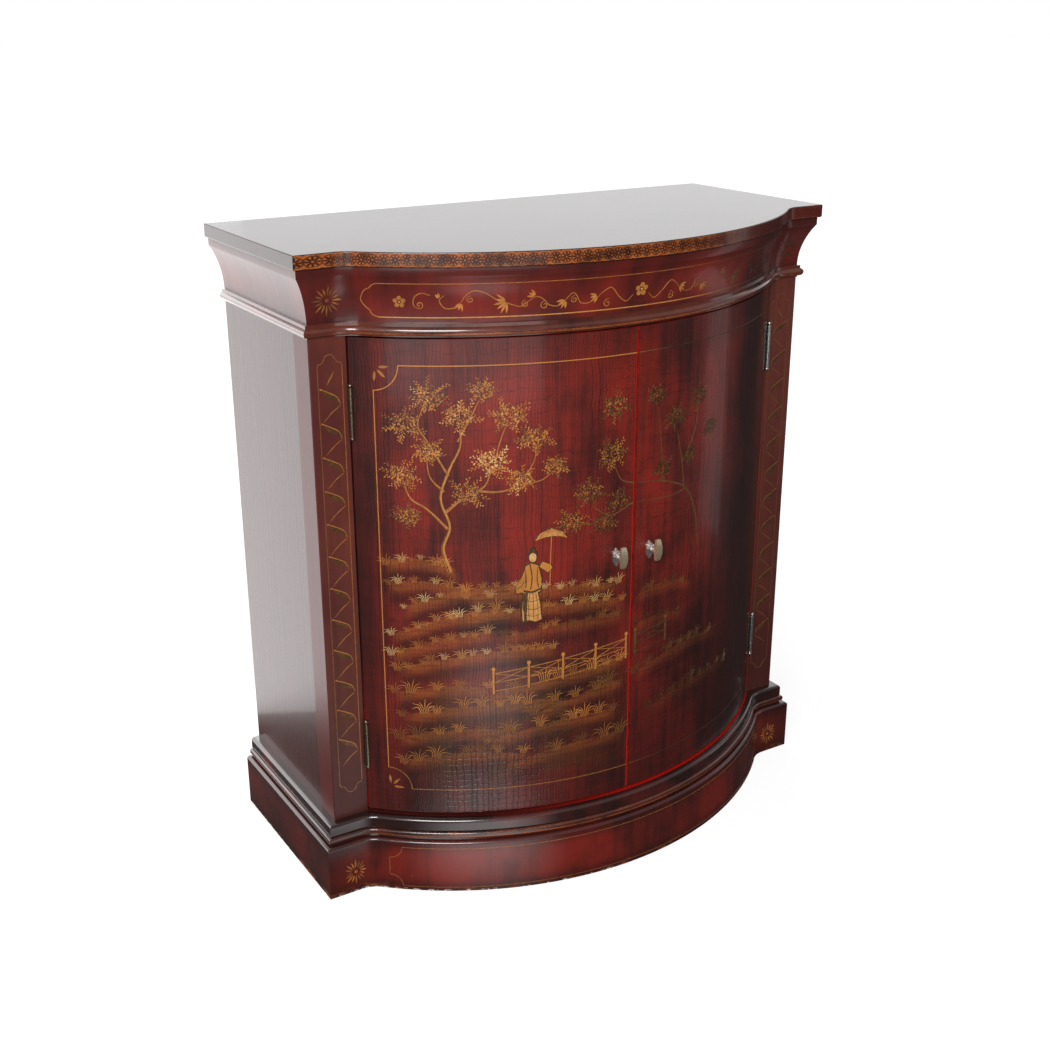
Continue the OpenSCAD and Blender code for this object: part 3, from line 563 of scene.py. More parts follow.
def landscape_ground(mat, along):
    """Brushed hillocks of the doors and the dull wash between them."""
    flat = mat.join(along, mat.z)
    brush, ragged = mat.noise((26, 260, 1), 5, 0.75, on=flat), mat.noise((300, 60, 1), 4, 0.7, on=flat)
    dapple = mat.noise(22, 4, 0.6)
    uneven = (dapple - 0.5) * 9 + (ragged - 0.5) * 6
    stroke = (0.25 + brush.step(0.3, 0.6) * 0.75) * 0.8
    for hillock in HILLOCKS:
        left, right, *_, strength = hillock
        share = (along / MM - left) / (right - left)
        below = crest(hillock, share) - mat.z / MM + uneven
        window = share.step(0.0, 0.12) * (1 - share.step(0.86, 1.0)) * strength
        mat.coat("black_glaze_and_shade", below.step(8.0, 18.0) * (1 - below.step(22.0, 44.0)) * window * 0.6)
        mat.coat("ochre", below.step(-0.6, 0.6) * (1 - below.step(2.0, 24.0)) * window * stroke)
    wash = mat.z.band(DOOR_FOOT + 0.14, 0.05, 0.07) * along.step(-0.33, -0.27) * (1 - along.step(-0.06, 0.02))
    mat.coat(tint("old_gold", 0.6), wash * dapple.step(0.36, 0.6) * 0.36)
    return dapple


def door_lacquer():
    """Lacquer of the doors: streaks, hillocks and cracks in front, scarlet edges, red inside."""
    mat = Shader("door_lacquer")
    z, radius = mat.z, mat.radius()
    along = mat.x.call("ARCTAN2", BOW_Y - mat.y) * BOW_R
    streak = glazed(mat, along, "maroon", "red", 0.85)
    far = abs(along)
    # Darker towards the outer edges; painted shade under the head and towards the foot, broken by the
    # streaks.
    side = far.step(OPEN_HALF - 0.03, OPEN_HALF + 0.03)
    head = z.step(DOOR_HEAD - 0.09, DOOR_HEAD) * 0.6
    foot = (1 - z.step(DOOR_FOOT, DOOR_FOOT + 0.42)) * 0.9
    mat.coat("black_glaze_and_shade", side.most(head).most(foot) * (0.35 + streak * 0.7))
    # Darker on the right door: partly a smoky glaze, partly painted shade where the light falls off.
    right_glaze_and_shade = along.step(0.06, 0.26) * (0.45 + 0.55 * (1 - abs(z - 0.4).step(0.08, 0.4)))
    mat.coat("black_glaze_and_shade", right_glaze_and_shade * 0.82)
    dapple = landscape_ground(mat, along)
    upright, level = cracks(mat, along, z)
    low = 1 - z.step(DOOR_FOOT + 0.07, DOOR_FOOT + 0.17)
    dry = low * along.step(-0.31, -0.26) * (1 - along.step(-0.15, -0.08))
    warp = (dapple - 0.5) * 0.012
    upright = (upright * (1 - dry * 0.75)).most(mat.lines(along + warp, 112, 0.02, 0.11, dry))
    level = (level * (1 - dry * 0.6)).most(mat.lines(z + warp, 112, 0.02, 0.11, dry))
    mat.coat("black_glaze_and_shade", upright.most(level) * 0.62)
    # Scarlet along the meeting edge, fading above mid height as painted shade.
    meet = along.step(-2.9 * MM, -2.2 * MM) * (1 - along.step(-0.1 * MM, 0.1 * MM))
    mat.coat("scarlet", meet * (1 - z.step(0.5, 0.85) * 0.7))
    back = 1 - radius.step(BOW_R - DOOR_THICK + 0.2 * MM, BOW_R - DOOR_THICK + 0.6 * MM)
    edges = mat.mix("scarlet", "red", mat.noise(90, 4, 0.6).step(0.4, 0.6))
    # Painted shade: the edges towards the posts, above the lowest part, go nearly black.
    edges = mat.mix(edges, "black_glaze_and_shade", far.step(0.2, 0.3) * z.step(0.2, 0.4) * 0.9)
    edges = mat.mix(edges, "inside", back)
    mat.base = mat.mix(edges, mat.base, radius.step(BOW_R - 1.0 * MM, BOW_R - 0.7 * MM))
    height = streak * 0.25 - upright * (0.4 + dry * 0.6) - level * (0.12 + dry * 0.85)
    return mat.gloss(0.24 + streak * 0.14, height, 0.00045)


def post_lacquer():
    """Browner lacquer of the posts, darker towards the foot, with inner sides in painted shade but for a
    scarlet edge low on the right post, and grained outer sides.
    """
    mat = Shader("post_lacquer")
    streak = glazed(mat, mat.x + mat.y, "rust", "maroon", 0.45)
    mat.coat("black_glaze_and_shade", (1 - mat.z.step(0.1, 0.6)) * 0.5)
    far = abs(mat.x)
    inner = 1 - far.step(OPEN_HALF + 0.2 * MM, OPEN_HALF + 0.9 * MM)
    # Painted shade: the inner sides, in the gaps by the doors, go nearly black.
    mat.coat("black_glaze_and_shade", inner)
    # The scarlet inner edge of the right post fades above mid height as painted shade.
    mat.coat("scarlet", inner * mat.x.step(-0.01, 0.01) * (1 - mat.z.step(0.5, 0.72) * 0.8))
    outer = far.step(CASE_HALF - 0.6 * MM, CASE_HALF)
    mat.coat("maroon", outer)
    grain = mat.noise((420, 420, 9), 5, 0.65)
    return mat.gloss(0.42 - outer * 0.15 + streak * 0.1, grain * (0.2 + outer), 0.00018, 0.0)


def side_lacquer():
    """Dark red lacquer of the sides over an upright grain, and the paint of their inner faces."""
    mat = Shader("side_lacquer")
    cloud = clouds(mat, mat.join(mat.y, mat.z, mat.x))
    grain = mat.noise((90, 420, 7), 6, 0.7)
    mat.base = mat.mix("umber", "maroon", 0.3 + cloud * 0.3)
    mat.coat("black_glaze_and_shade", grain.step(0.5, 0.66) * 0.6)
    inner = 1 - abs(mat.x).step(CASE_HALF - 12 * MM, CASE_HALF - 8 * MM)
    mat.coat("inside", inner * 0.9)
    upright = cracks(mat, mat.y, mat.z, 190.0, 12.0)[0]
    return mat.gloss(0.24 + grain * 0.12, grain - upright * 0.4, 0.00026)


def florets(along, level, depth):
    """Lattice of florets, rings and buds on the edge of the top board."""
    pitch = painting().floret
    place = (along / pitch).fract() * pitch - pitch / 2
    radius = (place * place + level * level).root()
    petal = abs((level.call("ARCTAN2", place) * 4).call("COSINE"))
    flower = 1 - (radius / (pitch * 0.5) - petal * 0.66).step(0.24, 0.4)
    eye = 1 - (radius / pitch).step(0.06, 0.1)
    ring = (radius / pitch).band(0.5, 0.035, 0.04)
    beside = ((along / pitch + 0.5).fract() - 0.5) * pitch
    corner = (beside * beside + (abs(level) - depth * 0.5) ** 2.0).root()
    bud = 1 - (corner / pitch).step(0.1, 0.18)
    return (flower.most(ring * 0.8).most(bud) - eye).most(0.0)


def top_lacquer():
    """Dark lacquer of the top board. Its front edge has copper with a lattice of florets."""
    mat = Shader("top_lacquer")
    along = mat.along()
    cloud = mat.noise(6, 4, 0.5)
    mat.base = mat.mix("maroon", "umber", 0.6 + 0.4 * cloud)
    depth = TOP_HIGH[2] - TOP_LOW[2]
    level = mat.z - (TOP_LOW[2] + depth * 0.5)
    ground = mat.mix("copper", tint("copper", 0.34), mat.noise(44, 5, 0.7).step(0.4, 0.6))
    pattern = mat.mix(ground, "black_glaze_and_shade", florets(along, level, depth) * 0.88)
    pattern = mat.mix(pattern, "maroon", along.step(0.0, 0.24) * 0.92)
    # Painted highlight: a gold glint along the rounded edges, weaker on the right.
    rim = mat.attribute("rub") * mat.noise(90, 4, 0.7).step(0.42, 0.6)
    pattern = mat.mix(pattern, "gold", rim * (1 - along.step(0.0, 0.2) * 0.7) * 0.4)
    edge = level.band(0.0, depth * 0.5 - 1.2 * MM, 0.3 * MM)
    corner = Run(moulding().turn).corner
    front = (1 - abs(along).step(corner - 1 * MM, corner)) * (1 - mat.y.step(-2 * MM, 0))
    mat.coat(pattern, edge * front)
    weave, ripple = mat.noise((60, 260, 60), 5, 0.65), mat.noise((3, 16, 3), 4, 0.6)
    return mat.gloss(0.25 + cloud * 0.03, weave * 0.5 + ripple * 0.5, 0.00022)


def inside_paint():
    """Plain red paint inside."""
    mat = Shader("inside_red")
    cloud = mat.noise(14, 5, 0.6)
    mat.base = mat.mix("inside", "red", cloud.step(0.35, 0.7))
    return mat.surface(Roughness=0.5 + cloud * 0.1, Normal=mat.bump(mat.noise(500, 3), 0.0001))


def moulded_plastic():
    """Brown plastic of the catch."""
    mat = Shader("catch_brown")
    speck = mat.noise(900, 2, 0.5)
    mat.base = mat.mix(paint(62, 40, 28), paint(84, 56, 40), speck)
    return mat.surface(Roughness=0.42 + speck * 0.1, Normal=mat.bump(speck, 0.00005))


def metal(name, plate, rough, spot, bright=1.0, grip=None, right=None):
    """Worn metal with darker hollows. Bright below 1 is a duller plating, grip the colour of
    a pull's end, and right a lighter colour laid on the pieces on the right as a painted highlight."""
    mat = Shader(name)
    dirt = mat.noise(spot, 5, 0.7)
    mat.base = mat.mix(plate, tint(plate, 0.2), dirt.step(0.5, 0.74))
    if grip:
        out = mat.radius().step(BOW_R + 16.2 * MM, BOW_R + 17.4 * MM)
        mat.coat(grip, out * (1 - dirt.step(0.5, 0.7) * 0.7))
    # Painted highlight: the pieces on the right get a lighter colour.
    if right:
        mat.coat(right, mat.x.step(-0.1, 0.1) * (1 - dirt.step(0.5, 0.74) * 0.6))
    return mat.surface(Metallic=bright, Roughness=rough + dirt * 0.16, Normal=mat.bump(dirt, 0.00012))


def bare_wood():
    """Secondary wood with a straight grain."""
    mat = Shader("bare_wood")
    rings = mat.noise((4, 110, 110), 5, 0.6)
    mat.base = mat.mix("wood", tint("wood", 0.6), rings.step(0.4, 0.75))
    return mat.surface(Roughness=0.6 + rings * 0.2, Normal=mat.bump(rings, 0.0002))


def gilding():
    """Gilt paint whose tone runs from a dull brown to cream."""
    mat = Shader("gilding")
    tone = mat.attribute("tone") + mat.noise(180, 3, 0.6) * 0.4 - 0.2
    mat.base = mat.mix(tint("old_gold", 0.25), "old_gold", tone.step(0, 0.35))
    mat.coat("gold", tone.step(0.3, 0.65))
    mat.coat("cream", tone.step(0.66, 1.0))
    worn = mat.noise(60, 5, 0.75)
    mat.coat("maroon", worn.step(0.62, 0.8) * 0.7)
    return mat.surface(Roughness=0.42 + worn * 0.2, Metallic=0.2, Coat_Weight=0.4, Coat_Roughness=0.2)


def on_bow(u, v):
    """Place and normal on the doors, u along the bow from its middle and v up."""
    a = u / BOW_R
    normal = Vector((math.sin(a), -math.cos(a), 0))
    return Vector((BOW_R * math.sin(a), BOW_Y - BOW_R * math.cos(a), v)), normal


def on_post(u, v):
    return Vector((u, CASE_FRONT, v)), Vector((0, -1, 0))


def on_plinth(u, v):
    out = overhang(PLINTH_LOW)
    x, y, nx, ny = Run(moulding().turn).at(u)
    return Vector((x + nx * out, y + ny * out, v)), Vector((nx, ny, 0))


def cove_circle():
    """How far the cove of the cornice reaches out and up, and its radius."""
    out = overhang(CORNICE_LOW)
    rise = TOP_LOW[2] - moulding().strip - CORNICE_LOW[2]
    return out, rise, (out ** 2 + rise ** 2) / (2 * out)


def on_cove(u, v):
    """Place and normal on the cove, v along its hollow from the foot."""
    radius = cove_circle()[2]
    a = v / radius
    x, y, nx, ny = Run(moulding().turn).at(u)
    out = radius - radius * math.cos(a)
    place = Vector((x + nx * out, y + ny * out, CORNICE_LOW[2] + radius * math.sin(a)))
    return place, Vector((nx * math.cos(a), ny * math.cos(a), -math.sin(a)))


def flow(knots, steps=8):
    """Smooth line through a few knots."""
    knots = [Vector(k) for k in knots]
    ends = [2 * knots[0] - knots[1], *knots, 2 * knots[-1] - knots[-2]]
    line = []
    for a, b, c, d in zip(ends, ends[1:], ends[2:], ends[3:]):
        for i in range(steps):
            t = i / steps
            line.append(0.5 * (2 * b + (c - a) * t + (2 * a - 5 * b + 4 * c - d) * t ** 2
                               + (3 * b - a - 3 * c + d) * t ** 3))
    return line + [knots[-1]]


def circle(u, v, radius, count):
    return [(u + radius * math.cos(a), v + radius * math.sin(a))
            for a in np.linspace(0, 2 * math.pi, count + 1)[:-1]]


def curl(u, v, radius, start, turns):
    """Spiral that winds inwards round a point, from the angle start."""
    count = int(abs(turns) * 14) + 2
    spokes = [(radius * (1 - 0.75 * i / count), start + 2 * math.pi * turns * i / count)
              for i in range(count + 1)]
    return [Vector((u + r * math.cos(a), v + r * math.sin(a))) for r, a in spokes]


class Drawing:
    """Flat drawing in gilt paint. A point is length along, height, side of the paint and tone."""

    def __init__(self, lift=1.0):
        self.points, self.faces, self.lift = [], [], lift

    def fill(self, outline, tone):
        """Closed shape whose upper side is a little smaller."""
        outline = [Vector(p) for p in outline]
        middle = sum(outline, Vector((0, 0))) / len(outline)
        first, count = len(self.points), len(outline)
        self.points += [(*p, -1, tone) for p in outline]
        self.points += [(*(middle + (p - middle) * 0.93), self.lift, tone) for p in outline]
        self.faces.append(list(range(first, first + count))[::-1])
        self.faces.append(list(range(first + count, first + 2 * count)))
        for i in range(count):
            k = (i + 1) % count
            self.faces.append([first + i, first + k, first + count + k, first + count + i])

    def stroke(self, line, width, tone, tip=1.0, tail=1.0):
        """Brush line whose width ends at the shares tip and tail."""
        line = [Vector(p) for p in line]
        first, count = len(self.points), len(line)
        for i, here in enumerate(line):
            ahead = (line[min(i + 1, count - 1)] - line[max(i - 1, 0)]).normalized()
            share = i / (count - 1)
            swell = tip + (1 - tip) * min(1, share * 3) if share < 0.5 else \
                tail + (1 - tail) * min(1, (1 - share) * 3)
            across = Vector((-ahead.y, ahead.x)) * width * 0.5 * swell
            self.points += [(*(here + across * share), side, tone) for share, side in
                            ((1, -1), (0.7, self.lift), (-0.7, self.lift), (-1, -1))]
        for i in range(count - 1):
            here, ahead = first + 4 * i, first + 4 * i + 4
            for j in range(4):
                k = (j + 1) % 4
                self.faces.append([here + j, here + k, ahead + k, ahead + j])
        self.faces.append([first + j for j in range(4)][::-1])
        self.faces.append([first + 4 * (count - 1) + j for j in range(4)])

    def leaf(self, u, v, angle, long, wide, tone):
        """Pointed leaf from its stalk."""
        c, s = math.cos(angle), math.sin(angle)
        shape = [(0, 0), (0.3, 0.42), (0.65, 0.4), (1, 0), (0.65, -0.4), (0.3, -0.42)]
        self.fill([(u + c * x * long - s * y * wide, v + s * x * long + c * y * wide)
                   for x, y in shape], tone)

    def toned(self, rule):
        """Changes each tone by a rule of its place along."""
        self.points = [(u, v, side, tone * rule(u)) for u, v, side, tone in self.points]
        return self

    def mirrored(self):
        """The same drawing on the other side of the middle."""
        other = Drawing()
        other.points = [(-u, *rest) for u, *rest in self.points]
        other.faces = [face[::-1] for face in self.faces]
        return other

    def join(self, other):
        first = len(self.points)
        self.points += other.points
        self.faces += [[first + i for i in face] for face in other.faces]
        return self

    def laid(self, name, surface, body="case"):
        """Lays the drawing on a surface as a thin raised piece."""
        relief = painting().relief
        vertices = []
        for u, v, side, _ in self.points:
            place, normal = surface(u, v)
            vertices.append(place + normal * relief * max(side, -0.5))
        piece = new_object(name, vertices, self.faces)
        tones = piece.data.attributes.new("tone", "FLOAT", "POINT")
        tones.data.foreach_set("value", [p[3] for p in self.points])
        return fitted(piece, bpy.data.materials["gilding"], "red_lacquer", body=body)


def scatter_tree():
    """Node tree that sets a painted leaf on every point and gives each its turn and size."""
    tree = bpy.data.node_groups.new("painted_leaves", "GeometryNodeTree")
    for key, kind in (("Points", "Geometry"), ("Leaf", "Object"), ("Length", "Float"), ("Paint", "Material")):
        tree.interface.new_socket(key, in_out="INPUT", socket_type="NodeSocket" + kind)
    tree.interface.new_socket("Leaves", in_out="OUTPUT", socket_type="NodeSocketGeometry")
    add = tree.nodes.new
    enter, leave, info = add("NodeGroupInput"), add("NodeGroupOutput"), add("GeometryNodeObjectInfo")
    turn, size = add("GeometryNodeInputNamedAttribute"), add("GeometryNodeInputNamedAttribute")
    for node, key in ((turn, "turn"), (size, "size")):
        node.data_type = "FLOAT"
        node.inputs["Name"].default_value = key
    spin, scale = add("ShaderNodeCombineXYZ"), add("ShaderNodeMath")
    scale.operation = "MULTIPLY"
    place, real = add("GeometryNodeInstanceOnPoints"), add("GeometryNodeRealizeInstances")
    dress = add("GeometryNodeSetMaterial")
    for source, out, target, into in (
            (enter, "Leaf", info, "Object"), (turn, "Attribute", spin, "Z"), (size, "Attribute", scale, 0),
            (enter, "Length", scale, 1), (enter, "Points", place, "Points"),
            (info, "Geometry", place, "Instance"), (spin, 0, place, "Rotation"), (scale, 0, place, "Scale"),
            (place, "Instances", real, "Geometry"), (real, "Geometry", dress, "Geometry"),
            (enter, "Paint", dress, "Material"), (dress, "Geometry", leave, "Leaves")):
        tree.links.new(source.outputs[out], target.inputs[into])
    return tree


def scattered(shape, spots, long):
    """Drawing of one small shape repeated on spots: along, up, turn, size and tone."""
    pattern = Drawing()
    shape(pattern)
    leaf = new_object("leaf_pattern", [point[:3] for point in pattern.points], pattern.faces)
    cloud = new_object("leaf_spots", [(u, v, 0) for u, v, *_ in spots], [])
    for key, column in (("turn", 2), ("size", 3), ("tone", 4)):
        layer = cloud.data.attributes.new(key, "FLOAT", "POINT")
        layer.data.foreach_set("value", [spot[column] for spot in spots])
    tree = bpy.data.node_groups.get("painted_leaves") or scatter_tree()
    modifier = cloud.modifiers.new("Leaves", "NODES")
    modifier.node_group = tree
    ids = {item.name: item.identifier for item in tree.interface.items_tree}
    modifier[ids["Leaf"]] = leaf
    modifier[ids["Length"]] = long
    modifier[ids["Paint"]] = bpy.data.materials["gilding"]
    graph = bpy.context.evaluated_depsgraph_get()
    mesh = bpy.data.meshes.new_from_object(cloud.evaluated_get(graph))
    tones = [item.value for item in mesh.attributes["tone"].data]
    drawing = Drawing()
    # A larger shape lies a little higher, so that no two upper sides fall together
    drawing.points = [(v.co.x, v.co.y, 1.1 + v.co.z * 60 if v.co.z > 0 else -1, tone)
                      for v, tone in zip(mesh.vertices, tones)]
    drawing.faces = [list(face.vertices) for face in mesh.polygons]
    for piece in (cloud, leaf):
        bpy.data.objects.remove(piece)
    bpy.data.meshes.remove(mesh)
    return drawing


class ChestPiece(bpy.types.Operator):
    """Common part of the operators that build a piece"""
    bl_options = {"REGISTER", "UNDO"}

    def execute(self, context):
        self.build()
        return {"FINISHED"}


class CHEST_OT_mouldings(ChestPiece):
    """Builds the top board, cornice, bead, ledge, plinth cap and plinth"""
    bl_idname = "chest.mouldings"
    bl_label = "Mouldings"

    def build(self):
        m = moulding()
        out = overhang(TOP_LOW)
        fitted(sweep("top_board_finished", m.turn, [
            (-m.board_in, TOP_LOW[2], 0, 0),
            (out, TOP_LOW[2], m.top_round_low, 1), (out, TOP_HIGH[2], m.top_round, 1),
            (-m.board_in, TOP_HIGH[2], 0, 0)], board=True), top_lacquer(), "top_lacquer", "top_board")
        foot = CORNICE_LOW[2]
        out, rise, cove = cove_circle()
        reach = math.asin(rise / cove)
        arc = [(cove - cove * math.cos(a), foot + cove * math.sin(a), 0, 0)
               for a in np.linspace(0, reach, 25)]
        fitted(sweep("cornice_finished", m.turn, [
            (-m.cornice_wall, foot, 0, 0), *arc,
            (out, TOP_LOW[2], 0, 0), (-m.cornice_wall, TOP_LOW[2], 0, 0)]),
            red_lacquer(), "red_lacquer", "cornice_front", "cornice_left", "cornice_right")
        z = CASE_TOP_Z
        bead_mid = z + m.bead_foot + m.bead
        bead_x = m.bead_out - m.bead
        last = math.acos((m.bead_flat - bead_x) / m.bead)
        round_ = [(bead_x + m.bead * math.cos(a), bead_mid + m.bead * math.sin(a), 0,
                   max(0, math.cos(a + 0.7)) ** 2) for a in np.linspace(-math.pi / 2, last, 17)]
        fitted(sweep("bead_finished", m.turn, [
            (0, z, 0, 0), (bead_x / 2, z, 0, 0), (bead_x / 2, z + m.bead_foot, 0, 0), *round_,
            (m.bead_flat, foot, 0, 0.4), (0, foot, 0, 0)]),
            moulding_lacquer("bead_lacquer", 0.75), "dark_lacquer", "bead_front", "bead_left", "bead_right")
        out = LEDGE_HIGH[0] - CASE_HALF
        fitted(sweep("ledge_finished", m.ledge_turn, [
            (-m.board_in, LEDGE_LOW[2], 0, 0),
            (out, LEDGE_LOW[2], m.ledge_round_low, 0.4), (out, LEDGE_HIGH[2], m.ledge_round, 0.4),
            (-m.board_in, LEDGE_HIGH[2], 0, 0)], board=True), ledge_lacquer(), "dark_lacquer", "bottom_board")
        out = overhang(CAP_LOW)
        inner = out - m.cap_w
        fitted(sweep("base_cap_finished", m.turn, [
            (inner, CAP_LOW[2], 0, 0), (out - m.quirk_d, CAP_LOW[2], 0, 0),
            (out - m.quirk_d, CAP_LOW[2] + m.quirk_h, 0, 0),
            (out, CAP_LOW[2] + m.quirk_h, m.cap_round, 1.0),
            (out, CAP_HIGH[2], m.cap_round, 0.75), (inner, CAP_HIGH[2], 0, 0)]),
            moulding_lacquer("cap_lacquer", 0.45), "dark_lacquer",
            "base_cap_front", "base_cap_left", "base_cap_right")
        out = overhang(PLINTH_LOW)
        inner = out - m.plinth_wall
        fitted(sweep("plinth_finished", m.turn, [
            (inner, 0, 0, 0), (out, 0, m.plinth_round_low, 0),
            (out, PLINTH_HIGH[2], m.plinth_round, 0), (inner, PLINTH_HIGH[2], 0, 0)]),
            plinth_lacquer(), "red_lacquer", "plinth_front", "plinth_left", "plinth_right")


class CHEST_OT_case(ChestPiece):
    """Finishes posts, sides, back, shelf and the other nodes of the case"""
    bl_idname = "chest.case"
    bl_label = "Case"

    def build(self):
        side, post = side_lacquer(), post_lacquer()
        table = {
            "red_lacquer": side, "dark_lacquer": side, "top_lacquer": side, "door_lacquer": door_lacquer(),
            "inside_red": inside_paint(), "bare_wood": bare_wood(), "catch_brown": moulded_plastic(),
            "steel": metal("bright_steel", "steel", 0.3, 300),
            # The hinges on the right get a lighter silver as a painted highlight.
            "hinge_nickel": metal("hinge_nickel", "nickel", 0.18, 300, 0.94, right=tint("silver", 0.8)),
            "pull_nickel": metal("pull_nickel", "silver", 0.12, 500, 0.9),
            "pull_brass": metal("pull_brass", "silver", 0.2, 160, 0.76, grip="brass")}
        for part in frame["record"]["subparts"]:
            mesh = frame["nodes"][part["node"]].data
            if not mesh.materials:
                mesh.materials.append(None)
            slot = part["material_slot"]
            for i in range(len(mesh.materials)):
                mesh.materials[i] = post if "post" in part["node"] and slot == "red_lacquer" else table[slot]


def daisy(drawing, u, v, radius, tone):
    """Sixteen rays, long and short by turns."""
    for i in range(16):
        a = math.pi * i / 8
        reach = radius * (0.72 if i % 2 == 0 else 0.56)
        drawing.leaf(u + 0.28 * radius * math.cos(a), v + 0.28 * radius * math.sin(a), a,
                     reach, radius * 0.125, tone + 0.08 * math.cos(3 * a))
    drawing.fill(circle(u, v, 0.12 * radius, 8), tone)


def blossom(drawing, u, v, radius, tone):
    """Five round petals and an eye."""
    for i in range(5):
        a = math.pi * (0.5 + 2 * i / 5)
        x, y = u + 0.62 * radius * math.cos(a), v + 0.62 * radius * math.sin(a)
        drawing.fill(circle(x, y, 0.36 * radius, 12), tone)
    drawing.fill(circle(u, v, 0.17 * radius, 8), tone + 0.25)


def hollow_corner(u, v, radius, up):
    """Points of a hollow corner of a border round its own corner point."""
    return [(u + radius * math.cos(a), v + radius * math.sin(a))
            for a in np.linspace(0, up * math.pi / 2, 10)]


